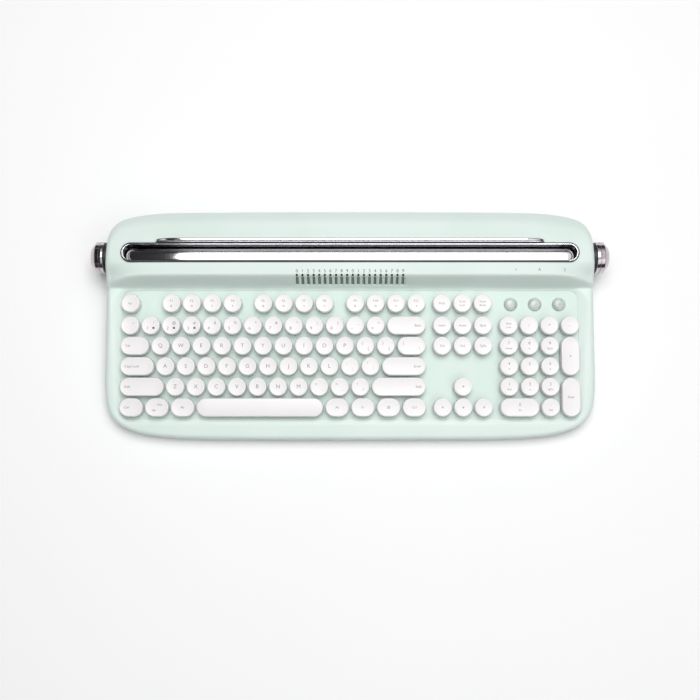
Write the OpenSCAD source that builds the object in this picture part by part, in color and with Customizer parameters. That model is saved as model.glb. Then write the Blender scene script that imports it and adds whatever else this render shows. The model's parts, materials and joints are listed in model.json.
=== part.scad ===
// Wireless desktop keyboard in the style of an old typewriter: round keys on a sloping deck, a
// hood behind it with a chrome platen bar, a slot for a tablet, and a turning knob at each end.
// Millimetres, +X to the typist's right, +Y away from the typist, +Z up, origin under the middle.

/* [Case] */
// Width of the case, without the knobs
case_w = 460; // [456:1:466]
// Depth of the case from front to back
case_d = 215.6; // [213.6:0.2:217.6]
// How much the front and back edges bow outwards in the middle
edge_bow = 1; // [0:0.1:2]
// Squareness of the back corners: higher gives tighter corners
back_squareness = 10; // [9:1:12]
// Squareness of the front corners, which are rounder
front_squareness = 7.5; // [7.3:0.1:9]
// Thickness of the case walls
wall = 2.5; // [2.2:0.1:2.7]
// Height of the joint between the bottom and the top case
seam_z = 9; // [8.5:0.1:9.5]
// Height of the rubber feet
foot_h = 2; // [1.6:0.1:2.4]
// Highest point of the hood
hood_z = 49; // [48.6:0.1:49.4]

/* [Key deck] */
// Slope of the key deck in degrees
deck_tilt = 5; // [4.6:0.1:5.2]
// Distance from one key to the next
key_pitch = 19.05; // [18.95:0.05:19.1]
// Height of the deck's face under the bottom row of keys
deck_z = 18.06; // [17.9:0.02:18.3]
// Place of the bottom row of keys from front to back
bottom_row_y = -78.4; // [-79:0.1:-78]
// Thickness of the deck plate
deck_t = 2; // [1.8:0.1:2.2]
// How far a key goes down
travel = 3.5; // [3:0.1:3.6]

/* [Keys] */
// Radius of a round key at its top
cap_r = 8.4; // [8:0.1:8.6]
// How much wider the key is at its skirt
cap_flare = 0.4; // [0.2:0.1:0.6]
// Height of the key's rim above the deck
cap_top = 10; // [9.6:0.1:10.4]
// Height of the key's skirt above the deck
cap_bottom = 4; // [3.8:0.1:4.2]
// Depth of the dish in the key's top
dish = 0.5; // [0.3:0.1:0.7]
// Diameter of a key's stem
stem_d = 6; // [5.8:0.1:6.2]

/* [Hood] */
// Width of the chrome tray in the hood
tray_w = 426; // [422:1:428]
// Front to back size of the chrome tray
tray_d = 18.7; // [18.5:0.1:19]
// Place of the tray's front edge
tray_y = 53.5; // [53.2:0.1:53.8]
// Depth of the slot below the hood's top
slot_depth = 14; // [12:0.5:15]
// Front to back size of the platen bar
bar_d = 9.4; // [9:0.1:9.6]
// Height of the back rest above the hood
rest_h = 7; // [5:0.5:8]
// Number of typebars in the grille
typebars = 20; // [16:1:22]

/* [Knobs] */
// Diameter of a knob
knob_d = 30; // [28:1:31]
// Distance from one knob's end to the other's
knob_span = 488; // [486:1:490]
// Height of the knobs' axis
knob_z = 27; // [26.5:0.5:28]
// Place of the knobs' axis from front to back
knob_y = 63.4; // [63:0.2:64]

/* [Batteries] */
// Diameter of a cell
cell_d = 14.2; // [14:0.1:14.4]
// Length of a cell's can
cell_l = 49; // [48.5:0.1:49.5]

/* [Hidden] */
$fn = 48;
eps = 0.01;
half_w = case_w / 2;
half_d = case_d / 2;
base_z = foot_h;
floor_t = 2;

// Colours
mint = [0.80, 0.90, 0.85];
ivory = [0.96, 0.95, 0.95];
chrome = [0.78, 0.79, 0.81];
black = [0.08, 0.09, 0.09];
steel = [0.62, 0.64, 0.66];

// Rows of keys, counted up the deck from the bottom row, in key pitches
row_bottom = 0;
row_z = 1;
row_a = 2;
row_q = 3;
row_number = 4;
row_function = 5.09;
// Width of the whole block of keys, in key pitches
block_units = 22.5;

// Deck levels below the deck's face, measured square to it
chimney_h = 4;
chimney_d = 9.4;
guide_d = stem_d + 0.5;
barb_d = stem_d + 1.2;
barb_h = 0.9;
stem_end = deck_t + chimney_h + 0.3 + barb_h;
dome_h = travel + 0.2;
dome_gap = 0.2;
sheet_t = 0.5;
sheet_w = stem_end + dome_gap + dome_h;
membrane_t = 0.4;
plate_t = 0.8;
lens_d = 12.8;
lens_x = [151.2, 173.9, 196.6];

// Deck outline, in the deck's own frame
deck_half_w = 218;
deck_front = -13.5;
deck_back = 112;
opening_half_w = 214.6;
opening_front = -11;
opening_back = 110;
opening_r = 8.5;
rim_run = 2.48;

// The typewriter letters, each a node of its own
letters = "qwertyuiopasdfghjklzxcvbnm";
letter_rows = [[10, row_q, 2], [9, row_a, 2.25], [7, row_z, 2.75]];

// Other keys as [centre in pitches, row, width in pitches, length in pitches]
number_keys = [for (i = [0:12]) [0.5 + i, row_number, 1, 1]];
punctuation_keys = [
    [12, row_q, 1, 1], [13, row_q, 1, 1], [14.25, row_q, 1.5, 1],
    [11.25, row_a, 1, 1], [12.25, row_a, 1, 1],
    for (i = [0:2]) [9.75 + i, row_z, 1, 1]
];
function_keys = [
    [0.5, row_function, 1, 1],
    for (start = [2.5, 7, 11.5]) for (i = [0:3]) [start + i, row_function, 1, 1],
    for (i = [0:2]) [15.75 + i, row_function, 1, 1]
];
modifier_keys = [
    for (u = [0.625, 1.875, 3.125, 10.625, 11.875, 13.125, 14.375])
        [u, row_bottom, 1.25, 1]
];
shift_keys = [[1.125, row_z, 2.25, 1], [13.625, row_z, 2.75, 1]];
navigation_keys = [
    for (i = [0:2]) for (row = [row_number, row_q]) [15.75 + i, row, 1, 1],
    [16.75, row_z, 1, 1],
    for (i = [0:2]) [15.75 + i, row_bottom, 1, 1]
];
numpad_keys = [
    for (i = [0:3]) [19 + i, row_number, 1, 1],
    for (row = [row_q, row_a, row_z]) for (i = [0:2]) [19 + i, row, 1, 1],
    [19.5, row_bottom, 2, 1], [21, row_bottom, 1, 1],
    [22, row_q - 0.5, 1, 2], [22, row_z - 0.5, 1, 2]
];
space_bar = [[6.875, row_bottom, 6.25, 1]];
enter_key = [[13.875, row_a, 2.25, 1]];
backspace_key = [[14, row_number, 2, 1]];
tab_key = [[0.75, row_q, 1.5, 1]];
caps_lock_key = [[0.875, row_a, 1.75, 1]];

KEY_GROUPS = [
    ["space_bar", space_bar], ["enter_key", enter_key], ["backspace_key", backspace_key],
    ["tab_key", tab_key], ["caps_lock_key", caps_lock_key], ["shift_keys", shift_keys],
    ["number_keys", number_keys], ["punctuation_keys", punctuation_keys],
    ["function_keys", function_keys], ["modifier_keys", modifier_keys],
    ["navigation_keys", navigation_keys], ["numpad_keys", numpad_keys]
];

function letter_key(i) =
    i < 10 ? [letter_rows[0][2] + i, row_q, 1, 1]
    : i < 19 ? [letter_rows[1][2] + i - 10, row_a, 1, 1]
    : [letter_rows[2][2] + i - 19, row_z, 1, 1];
all_keys = concat([for (i = [0:25]) letter_key(i)], [for (g = KEY_GROUPS) each g[1]]);

function key_x(key) = (key[0] - block_units / 2) * key_pitch;
function key_y(key) = key[1] * key_pitch;
// How far the two round ends of a long key are apart, to a tenth, and where its stems stand along it
function reach(key) = round((max(key[2], key[3]) - 1) * key_pitch * 10) / 10;
function stems(key) =
    reach(key) > 4 * key_pitch ? [-0.42 * reach(key), 0, 0.42 * reach(key)]
    : reach(key) >= key_pitch ? [-reach(key) / 2, 0, reach(key) / 2]
    : [0];

// Hood, seen from the side
tray_r = tray_d / 2;
tray_mid_y = tray_y + tray_r;
tray_wall = 0.8;
tray_top = hood_z + 0.8;
tray_bottom = hood_z - slot_depth - tray_wall;
bar_y = tray_y + tray_wall + bar_d / 2;
bar_half_w = 206;
bar_top = hood_z + 1.7;
bar_edge_r = 1.5;
rest_y = tray_y + tray_d;
rest_t = 2.9;
rest_half_w = 180.5;
rest_ramp = 19;
shoulder_r = 20;
foot_y = 32.5;
crease_y = 42.1;
crease_z = hood_z - 2;
face_lean = atan2(crease_y - foot_y, crease_z - deck_height(foot_y));
// Crown of the hood behind the crease, as [place, drop below its top]
crown = [[52, 0.6], [63.4, 0], [75, 0.5]];
// Hollow behind the front face: how far it stands back at the foot and at the crease
face_back = [3.6, 2.4];
rim_drop = 5;
tray_hole_depth = 6;
spigot_d = 8.8;

// Grille
bar_pitch = 98.4 / (typebars - 1);
grille_slot_w = 3.2;
grille_slot_l = 13.6;
grille_start = 8;
typebar_w = 1.4;
typebar_in = [0.6, 3.8];
head_d = 2.2;
strip_in = [3.5, 4.9];

// Knobs
knob_len = 12.4;
shaft_d = 6;
shaft_window_d = 9;
switch_w = 14;

// Battery bay
cell_x = -80;
cell_y = 83;
door_z = base_z + 0.2;
door_t = 1.9;
door_gap = 0.3;
door_travel = 4.5;
ledge_z = base_z + 2.2;
ledge_t = 2;
bay_l = 2 * cell_l + 14;
bay_d = cell_d + 1.6;
cell_z = door_z + door_t + 0.3 + cell_d / 2;
contact_t = 0.8;

// Controller board: its corner, its size, and its parts as [place, size]
board_place = [50, 52, 10];
board_size = [80, 40, 1.6];
board_parts = [
    [[10, 24, 0], [10, 10, 1.4]],
    [[50, 26, 0], [18, 12, 2.4]],
    [[26, 10, 0], [28, 5, 6.4]]
];

// Insulated leads: straight runs with round elbows, from the cells and the switches to the board
lead_d = 1.4;
elbow_d = 2.2;
leads = [
    [[-17, 78, 12], [48, 78, 12]],
    [[-17, 82, 12], [48, 82, 12]],
    [[-214, 66, 20], [-214, 66, 14], [-150, 62, 14], [48, 62, 14]],
    [[-214, 62, 20], [-214, 62, 12], [-150, 58, 12], [48, 58, 12]],
    [[214, 66, 20], [214, 66, 14], [132, 62, 14]],
    [[214, 62, 20], [214, 62, 12], [132, 58, 12]]
];

// Screws, as [x, y]
screws = [
    [-150, -97.2], [0, -99.2], [150, -97.2], [-223, -25], [223, -25],
    [-170, 95], [0, 96], [170, 95]
];
screw_d = 2.9;
screw_head_d = 5.4;
screw_head_h = 1.8;
boss_d = 6.8;
foot_r = 6;
feet = [[-190, -84], [0, -88], [190, -84], [-190, 88], [190, 88], [20, 88]];

function deck_height(y) = deck_z + (y - bottom_row_y) * tan(deck_tilt);
// Rim line beside the keys: just proud of the deck at the front, higher at the hood
function rim_height(y) = deck_height(y) + 1.2 + 3.8 * (y + half_d) / (foot_y + half_d);

// Plan outline: a squared ellipse, squarer at the back, whose front and back edges bow outwards
function outline(inset) = [
    for (t = [0:4:356])
        let (cx = cos(t), sy = sin(t), p = 2 / (sy < 0 ? front_squareness : back_squareness),
             x = (half_w - inset) * sign(cx) * pow(abs(cx), p),
             bow = edge_bow * pow(x / half_w, 2))
        [x, (half_d - inset - bow) * sign(sy) * pow(abs(sy), p)]
];

function rounded_box(w, front, back, r) = [
    for (c = [[w - r, back - r, 0], [r - w, back - r, 90], [r - w, front + r, 180], [w - r, front + r, 270]])
        for (a = [0:15:90])
            [c[0] + r * cos(c[2] + a), c[1] + r * sin(c[2] + a)]
];

function arc(cy, cz, r, from, to) = [
    for (i = [0:6]) let (a = from + (to - from) * i / 6) [cy + r * cos(a), cz + r * sin(a)]
];

// Side profiles of the hood and the deck, as [y, z]
function outer_profile() = concat(
    [[-half_d - 1, seam_z], [-half_d - 1, seam_z + 3], [rim_drop - half_d, rim_height(rim_drop - half_d)]],
    [[foot_y - 2, rim_height(foot_y - 2)], [foot_y + tan(face_lean) * rim_drop, rim_height(foot_y)]],
    [[crease_y, crease_z], for (c = crown) [c[0], hood_z - c[1]]],
    arc(half_d - shoulder_r, hood_z - 2 - shoulder_r, shoulder_r, 90, 0),
    [[half_d, seam_z]]
);
function inner_profile() = concat(
    [[-half_d - 1, seam_z - 1], [-half_d - 1, deck_height(-half_d - 1)]],
    [[foot_y + face_back[0], deck_height(foot_y + face_back[0])], [crease_y + face_back[1], crease_z - wall]],
    [for (c = crown) [c[0], hood_z - c[1] - wall]],
    arc(half_d - shoulder_r, hood_z - 2 - shoulder_r, shoulder_r - wall, 90, 0),
    [[half_d - wall, seam_z - 1]]
);

// A side profile carried across the whole width
module across(points)
    translate([-half_w - 5, 0, 0])
        rotate([90, 0, 90])
            linear_extrude(2 * half_w + 10)
                polygon(points);

module on_deck()
    translate([0, bottom_row_y, deck_z])
        rotate([deck_tilt, 0, 0])
            children();

module stadium(half_l, r, z, h)
    translate([0, 0, z]) {
        translate([r - half_l, -r, 0])
            cube([2 * (half_l - r), 2 * r, h]);
        for (side = [-1, 1])
            translate([side * (half_l - r), 0, 0])
                cylinder(r = r, h = h);
    }

// A slot through the hood's front face, square to it
module on_face(x, along)
    translate([x, foot_y, deck_height(foot_y)])
        rotate([-face_lean, 0, 0])
            translate([0, 0, along])
                children();

module key_opening()
    on_deck()
        hull()
            for (level = [[-eps, 0], [12, 12 * rim_run]])
                for (sx = [-1, 1])
                    for (end = [[opening_front, -1], [opening_back, 0]])
                        let (grow = level[1], r = opening_r)
                        translate([
                            sx * (opening_half_w + grow - r),
                            end[1] < 0 ? end[0] - grow + r : end[0] - r,
                            level[0]
                        ])
                            cylinder(r = r, h = eps, $fn = 32);

module bosses(z0, z1, d)
    for (s = screws)
        translate([s[0], s[1], z0])
            cylinder(d = d, h = z1 - z0);

module top_case()
    color(mint)
        difference() {
            intersection() {
                across(outer_profile());
                translate([0, 0, seam_z])
                    linear_extrude(hood_z)
                        polygon(outline(0));
            }
            difference() {
                intersection() {
                    across(inner_profile());
                    translate([0, 0, seam_z - 1])
                        linear_extrude(hood_z)
                            polygon(outline(wall));
                }
                bosses(seam_z, hood_z, boss_d);
            }
            bosses(seam_z - 1, seam_z + 5, screw_d + 0.1);
            key_opening();
            translate([0, tray_mid_y, 0])
                stadium(tray_w / 2 + 0.1, tray_r + 0.1, hood_z - tray_hole_depth, tray_hole_depth + 2);
            for (i = [0:typebars - 1])
                on_face((i - (typebars - 1) / 2) * bar_pitch, grille_start)
                    translate([-grille_slot_w / 2, -2, 0])
                        cube([grille_slot_w, 6, grille_slot_l]);
            for (side = [-1, 1])
                translate([side * (half_w - 5), knob_y, knob_z])
                    rotate([0, side * 90, 0])
                        cylinder(d = shaft_window_d, h = 10);
        }

module bottom_case()
    color(mint)
        difference() {
            union() {
                difference() {
                    translate([0, 0, base_z])
                        linear_extrude(seam_z - base_z)
                            polygon(outline(0));
                    translate([0, 0, base_z + floor_t])
                        linear_extrude(seam_z)
                            polygon(outline(wall));
                }
                bosses(base_z + 1, seam_z, boss_d);
                // Battery box
                translate([cell_x - bay_l / 2 - 6, cell_y - bay_d / 2 - 5, base_z + floor_t - eps])
                    cube([bay_l + 12 + door_travel, bay_d + 10, ledge_z + ledge_t - base_z - floor_t]);
                translate([cell_x - bay_l / 2 - 1.5, cell_y - bay_d / 2 - 1.5, base_z + floor_t])
                    cube([bay_l + 3, bay_d + 3, 17]);
            }
            bosses(base_z - 1, base_z + 3, screw_head_d + 0.6);
            bosses(base_z, seam_z + 1, screw_d + 0.4);
            // Cells go in from below, and the door covers them
            translate([cell_x - bay_l / 2, cell_y - bay_d / 2, base_z - 1])
                cube([bay_l, bay_d, 30]);
            translate([cell_x - bay_l / 2 - 3, cell_y - bay_d / 2 - 2.5, base_z - 1])
                cube([bay_l + 6 + door_travel, bay_d + 5, ledge_z - base_z + 1]);
        }

module key_deck()
    color(mint)
        on_deck()
            difference() {
                union() {
                    translate([0, 0, -deck_t])
                        linear_extrude(deck_t)
                            polygon(rounded_box(deck_half_w, deck_front, deck_back, opening_r));
                    for (key = all_keys)
                        stem_places(key)
                            translate([0, 0, -deck_t - chimney_h])
                                cylinder(d = chimney_d, h = chimney_h + deck_t / 2);
                }
                for (key = all_keys)
                    stem_places(key)
                        translate([0, 0, -deck_t - chimney_h - 1])
                            cylinder(d = guide_d, h = deck_t + chimney_h + 2);
                for (x = lens_x)
                    translate([x, row_function * key_pitch, -deck_t - 1])
                        cylinder(d = lens_d - 2.6, h = deck_t + 2);
            }

module stem_places(key)
    translate([key_x(key), key_y(key), 0])
        rotate([0, 0, key[3] > 1 ? 90 : 0])
            for (s = stems(key))
                translate([s, 0, 0])
                    children();

// A half section that starts and ends on its axis, with its mirror image
function mirrored(half) = concat(half, [for (i = [len(half) - 2:-1:1]) [-half[i][0], half[i][1]]]);

// Half section of a key from its axis outwards: dished top, rounded rim, flared hollow skirt
function cap_section() = [
    [0, cap_top - dish], [cap_r * 0.5, cap_top - dish * 0.8], [cap_r * 0.85, cap_top - dish * 0.15],
    [cap_r - 0.9, cap_top], [cap_r - 0.4, cap_top - 0.15], [cap_r - 0.05, cap_top - 0.6],
    [cap_r + cap_flare, cap_bottom], [cap_r + cap_flare - 1.2, cap_bottom],
    [cap_r - 1.5, cap_top - 2], [0, cap_top - 2]
];

module cap(length) {
    section = cap_section();
    if (length == 0)
        rotate_extrude()
            polygon(section);
    else {
        for (side = [-1, 1])
            translate([side * length / 2, 0, 0])
                rotate([0, 0, side * -90])
                    rotate_extrude(angle = 180)
                        polygon(section);
        translate([-length / 2, 0, 0])
            rotate([90, 0, 90])
                linear_extrude(length)
                    polygon(mirrored(section));
    }
}

module key(k) {
    translate([key_x(k), key_y(k), 0])
        rotate([0, 0, k[3] > 1 ? 90 : 0])
            cap(reach(k));
    stem_places(k) {
        translate([0, 0, -stem_end])
            cylinder(d = stem_d, h = stem_end + cap_top - 1.5);
        translate([0, 0, -stem_end])
            cylinder(d = barb_d, h = barb_h);
    }
}

module keys(list)
    color(ivory)
        on_deck()
            for (k = list)
                key(k);

module dome_sheet()
    color([0.85, 0.87, 0.86])
        on_deck() {
            translate([0, 0, -sheet_w - sheet_t])
                linear_extrude(sheet_t)
                    polygon(rounded_box(deck_half_w - 3, deck_front + 3, deck_back - 3, 5));
            for (k = all_keys)
                translate([key_x(k), key_y(k), -sheet_w - eps])
                    difference() {
                        cylinder(d1 = 9, d2 = 5, h = dome_h);
                        translate([0, 0, -eps])
                            cylinder(d1 = 8, d2 = 4, h = dome_h - 0.6);
                    }
        }

module membrane()
    color([0.75, 0.80, 0.82])
        on_deck()
            translate([0, 0, -sheet_w - sheet_t - membrane_t]) {
                linear_extrude(membrane_t)
                    polygon(rounded_box(deck_half_w - 3, deck_front + 3, deck_back - 3, 5));
                translate([78, deck_back - 5, 0])
                    cube([24, 45, membrane_t]);
            }

module backing_plate()
    color(steel)
        on_deck()
            translate([0, 0, -sheet_w - sheet_t - membrane_t - plate_t])
                linear_extrude(plate_t)
                    polygon(rounded_box(deck_half_w - 3, deck_front + 3, deck_back - 3, 5));

module indicator_lenses()
    color([0.72, 0.76, 0.75, 0.7])
        on_deck()
            for (x = lens_x)
                translate([x, row_function * key_pitch, 0])
                    rotate_extrude()
                        polygon([
                            [0, -6], [lens_d / 2 - 1.5, -6], [lens_d / 2 - 1.5, 0], [lens_d / 2, 0],
                            for (a = [0:15:90]) [lens_d / 2 * cos(a), 0.8 + 2 * sin(a)]
                        ]);

module slot_tray()
    color(chrome)
        translate([0, tray_mid_y, 0])
            difference() {
                stadium(tray_w / 2, tray_r, tray_bottom, tray_top - tray_bottom);
                stadium(tray_w / 2 - tray_wall, tray_r - tray_wall, tray_bottom + tray_wall, 40);
            }

// Half section of the platen bar: straight sides under a flat top with rounded edges
function bar_section() = concat(
    [[0, bar_top]],
    [for (a = [90:-15:0]) [
        bar_d / 2 - bar_edge_r * (1 - cos(a)),
        bar_top - bar_edge_r * (1 - sin(a))
    ]],
    [[bar_d / 2, tray_bottom + tray_wall], [0, tray_bottom + tray_wall]]
);

module paper_bar() {
    section = bar_section();
    run = bar_half_w - bar_d / 2;
    color(chrome)
        translate([0, bar_y, 0]) {
            for (side = [-1, 1])
                translate([side * run, 0, 0])
                    rotate([0, 0, side * -90])
                        rotate_extrude(angle = 180)
                            polygon(section);
            translate([-run, 0, 0])
                rotate([90, 0, 90])
                    linear_extrude(2 * run)
                        polygon(mirrored(section));
        }
}

// How far out the rounded end of the rest is at an angle up its quarter ellipse
function rest_end(a) = rest_half_w - rest_ramp * (1 - cos(a));

module back_rest()
    color(chrome)
        translate([0, rest_y + rest_t, 0])
            rotate([90, 0, 0])
                linear_extrude(rest_t)
                    polygon([
                        [-rest_half_w, hood_z - 0.2], [rest_half_w, hood_z - 0.2],
                        for (a = [0:15:90]) [rest_end(a), hood_z + rest_h * sin(a)],
                        for (a = [90:-15:0]) [-rest_end(a), hood_z + rest_h * sin(a)]
                    ]);

module typebar_grille()
    color(black)
        for (i = [0:typebars - 1])
            on_face((i - (typebars - 1) / 2) * bar_pitch, grille_start) {
                translate([-typebar_w / 2, typebar_in[0], 0.3])
                    cube([typebar_w, typebar_in[1] - typebar_in[0], grille_slot_l - 0.6]);
                translate([0, head_d, grille_slot_l - 1.6])
                    rotate([90, 0, 0])
                        cylinder(d = head_d, h = head_d);
                // Strip that joins the bars behind the face
                if (i < typebars - 1)
                    translate([-typebar_w / 2, strip_in[0], 0.3])
                        cube([bar_pitch + typebar_w, strip_in[1] - strip_in[0], grille_slot_l - 3]);
            }

module knob(side)
    color(chrome)
        translate([side * (knob_span / 2 - knob_len), knob_y, knob_z])
            rotate([0, side * 90, 0]) {
                rotate_extrude()
                    polygon([
                        [0, 0], [knob_d / 2 - 0.5, 0], [knob_d / 2, 0.5], [knob_d / 2, 7.4],
                        [knob_d / 2 - 0.8, 8.6], [knob_d / 2 - 4.6, 11.8], [knob_d / 2 - 5.6, knob_len - 0.1],
                        [knob_d / 2 - 6.4, knob_len], [0, knob_len - 0.5]
                    ]);
                translate([0, 0, -20])
                    cylinder(d = shaft_d, h = 20.5);
            }

module left_knob() knob(-1);
module right_knob() knob(1);

module knob_collars()
    color(black)
        for (side = [-1, 1])
            translate([side * (half_w - 1.6), knob_y, knob_z])
                rotate([0, side * 90, 0])
                    difference() {
                        union() {
                            translate([0, 0, 1.6])
                                cylinder(d = knob_d - 1.4, h = knob_span / 2 - knob_len - half_w - 0.2);
                            translate([0, 0, -0.5])
                                cylinder(d = spigot_d, h = 2.5);
                        }
                        translate([0, 0, -2])
                            cylinder(d = shaft_d + 0.6, h = 12);
                    }

module rotary_switches()
    color([0.25, 0.27, 0.28])
        for (side = [-1, 1])
            translate([side * (half_w - wall - 1), knob_y, knob_z])
                rotate([0, side * -90, 0])
                    difference() {
                        union() {
                            translate([-switch_w / 2, -switch_w / 2, 0])
                                cube([switch_w, switch_w, 7]);
                            translate([0, 0, 6.5])
                                cylinder(d = 10, h = 6);
                        }
                        translate([0, 0, -1])
                            cylinder(d = shaft_d + 0.1, h = 20);
                    }

module controller_board()
    color([0.12, 0.35, 0.22]) {
        translate(board_place)
            cube(board_size);
        // Main chip, radio can and membrane connector, as [place on the board, size]
        for (part = board_parts)
            translate(board_place + [0, 0, board_size[2]] + part[0])
                cube(part[1]);
        // Posts it stands on
        for (x = [4, board_size[0] - 4])
            for (y = [4, board_size[1] - 4])
                translate([board_place[0] + x, board_place[1] + y, base_z + floor_t])
                    cylinder(d = 5, h = board_place[2] - base_z - floor_t);
    }

module battery_cells()
    color([0.30, 0.42, 0.38])
        for (i = [0, 1])
            translate([cell_x - cell_l - 2 + i * (cell_l + 3), cell_y, cell_z])
                rotate([0, 90, 0]) {
                    cylinder(d = cell_d, h = cell_l);
                    translate([0, 0, cell_l - eps])
                        cylinder(d = 5.4, h = 1.4);
                }

module battery_contacts()
    color(steel) {
        for (side = [-1, 1])
            translate([cell_x + side * (bay_l / 2 - 0.5) - contact_t / 2, cell_y - 6, ledge_z + ledge_t + 1])
                cube([contact_t, 12, 13]);
        // Coil spring at the first cell's flat end, drawn as the sleeve it fills
        translate([cell_x - bay_l / 2 + contact_t, cell_y, cell_z])
            rotate([0, 90, 0])
                difference() {
                    cylinder(d = 7, h = 3.4);
                    translate([0, 0, -1])
                        cylinder(d = 5, h = 6);
                }
    }

module battery_door()
    color(mint)
        translate([cell_x - bay_l / 2 - 3 + door_gap, cell_y - bay_d / 2 - 2.5 + door_gap, door_z])
            difference() {
                cube([bay_l + 6 - 2 * door_gap, bay_d + 5 - 2 * door_gap, door_t]);
                for (i = [0:4])
                    translate([bay_l - 14 + 3 * i, 5, -0.5])
                        cube([1.2, bay_d - 5, 1]);
            }

module rubber_feet()
    color([0.22, 0.23, 0.23])
        for (f = feet)
            translate([f[0], f[1], 0])
                rotate_extrude()
                    polygon([[0, 0], [foot_r - 0.6, 0], [foot_r, 0.6], [foot_r, foot_h], [0, foot_h]]);

module case_screws()
    color(steel)
        for (s = screws)
            translate([s[0], s[1], base_z + 1.2]) {
                difference() {
                    cylinder(d = screw_head_d, h = screw_head_h);
                    translate([-2, -0.4, -0.5])
                        cube([4, 0.8, 1.2]);
                    translate([-0.4, -2, -0.5])
                        cube([0.8, 4, 1.2]);
                }
                cylinder(d = screw_d, h = 10);
            }

module lead(points)
    for (i = [0:len(points) - 2]) {
        step = points[i + 1] - points[i];
        translate(points[i]) {
            if (i > 0)
                sphere(d = elbow_d);
            rotate([0, acos(step[2] / norm(step)), atan2(step[1], step[0])])
                cylinder(d = lead_d, h = norm(step));
        }
    }

module wire_harness()
    color([0.65, 0.12, 0.12])
        for (points = leads)
            lead(points);

for (i = [0:25])
    keys([letter_key(i)]);
for (g = KEY_GROUPS)
    keys(g[1]);
top_case();
bottom_case();
key_deck();
slot_tray();
paper_bar();
back_rest();
typebar_grille();
indicator_lenses();
left_knob();
right_knob();
knob_collars();
rotary_switches();
controller_board();
membrane();
dome_sheet();
backing_plate();
battery_cells();
battery_contacts();
battery_door();
rubber_feet();
case_screws();
wire_harness();
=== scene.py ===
# %% [markdown]
# # A wireless keyboard dressed as a typewriter
# The object is a full-size desktop keyboard: 104 round keys on a sloping mint deck, a hood behind
# them with a chrome platen bar lying in a long slot, a grille of small typebars on the hood's front
# face, three frosted indicator domes and a chrome knob at each end.
#
# Every visible piece is written as a surface: whole arrays of points worked out from a formula,
# then joined into quads. All lengths are written in millimetres and turned into metres once, when a
# mesh is made. The frame from CAD gives the places: key centres, the deck's slope, the knobs' axis.

# %% Set-up
import json
import math

import bmesh
import bpy
import numpy as np
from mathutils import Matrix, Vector


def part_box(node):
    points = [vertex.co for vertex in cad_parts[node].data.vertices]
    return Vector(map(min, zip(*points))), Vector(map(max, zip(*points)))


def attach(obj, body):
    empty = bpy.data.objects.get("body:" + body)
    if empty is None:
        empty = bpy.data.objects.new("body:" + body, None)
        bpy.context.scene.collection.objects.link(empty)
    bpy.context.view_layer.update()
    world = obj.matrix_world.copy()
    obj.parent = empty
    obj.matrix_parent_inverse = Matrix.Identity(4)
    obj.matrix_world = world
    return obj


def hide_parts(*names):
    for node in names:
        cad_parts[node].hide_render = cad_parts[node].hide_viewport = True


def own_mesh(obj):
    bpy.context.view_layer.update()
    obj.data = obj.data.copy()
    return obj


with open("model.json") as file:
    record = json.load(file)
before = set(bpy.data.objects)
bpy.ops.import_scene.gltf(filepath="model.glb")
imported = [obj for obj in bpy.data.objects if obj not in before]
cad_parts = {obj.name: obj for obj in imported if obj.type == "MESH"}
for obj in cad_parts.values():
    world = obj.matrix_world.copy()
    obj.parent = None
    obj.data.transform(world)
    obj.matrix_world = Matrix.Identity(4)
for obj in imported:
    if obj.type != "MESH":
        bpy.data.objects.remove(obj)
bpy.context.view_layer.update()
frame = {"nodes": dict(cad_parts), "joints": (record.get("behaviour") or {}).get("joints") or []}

MM = 0.001
ROOT = "case"


# %% [markdown]
# ## Reading the frame
# The key joints slide square to the deck, so their direction gives the deck's slope. The boxes of
# the keys give the pitch, and the boxes of the case, tray, bar and rest give the big dimensions.

# %% Places from the frame
def box_mm(node):
    """Lowest and highest corner of a CAD node in millimetres."""
    low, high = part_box(node)
    return np.array(low) * 1000, np.array(high) * 1000


JOINTS = {j["name"]: j for j in frame["joints"]}
press = JOINTS["key_q_press"]["axis"]
TILT = math.atan2(press[1], -press[2])
q_low, q_high = box_mm("key_q")
PITCH = (box_mm("key_p")[0][0] - q_low[0]) / 9
case_low, case_high = box_mm("top_case")
HALF_W = case_high[0]
HALF_D = case_high[1]
SEAM = case_low[2]
KNOB_Y, KNOB_Z = np.array(JOINTS["power_dial"]["pos_m"])[1:] * 1000
tray_low, tray_high = box_mm("slot_tray")
bar_low, bar_high = box_mm("paper_bar")
rest_low, rest_high = box_mm("back_rest")
print("deck slope", round(math.degrees(TILT), 2), "pitch", round(PITCH, 3), "seam", round(SEAM, 2))

# The deck's face under the bottom row, and a cap's top and lower edge above the deck
ROW0_Y = -78.4
ROW0_Z = 18.06
CAP_TOP = 10.0
CAP_BOTTOM = 4.0
# The hood's front face: its foot, its crease, how far the foot stands above the deck, and the top
FOOT_Y = 32.5
CREASE_Y = 42.1
FACE_FOOT = 0.6
HOOD_Z = 49.0
# The function keys and the indicator domes stand a little apart from the rows below, in pitches
FUNCTION_ROW = 5.09


def deck_height(y):
    """Height of the deck's face above the desk at a place y in plan."""
    return ROW0_Z + (y - ROW0_Y) * math.tan(TILT)


def on_deck(points):
    """Points given in the deck's own frame, moved to the keyboard's frame."""
    points = np.asarray(points, float)
    c, s = math.cos(TILT), math.sin(TILT)
    out = points.copy()
    out[..., 1] = ROW0_Y + points[..., 1] * c - points[..., 2] * s
    out[..., 2] = ROW0_Z + points[..., 1] * s + points[..., 2] * c
    return out


# %% [markdown]
# ## Making meshes from arrays
# A piece is collected as patches of points and quads, then made a mesh once. Doubles are merged so
# that seams and poles close, and edges sharper than a set angle stay crisp in the shading.

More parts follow.
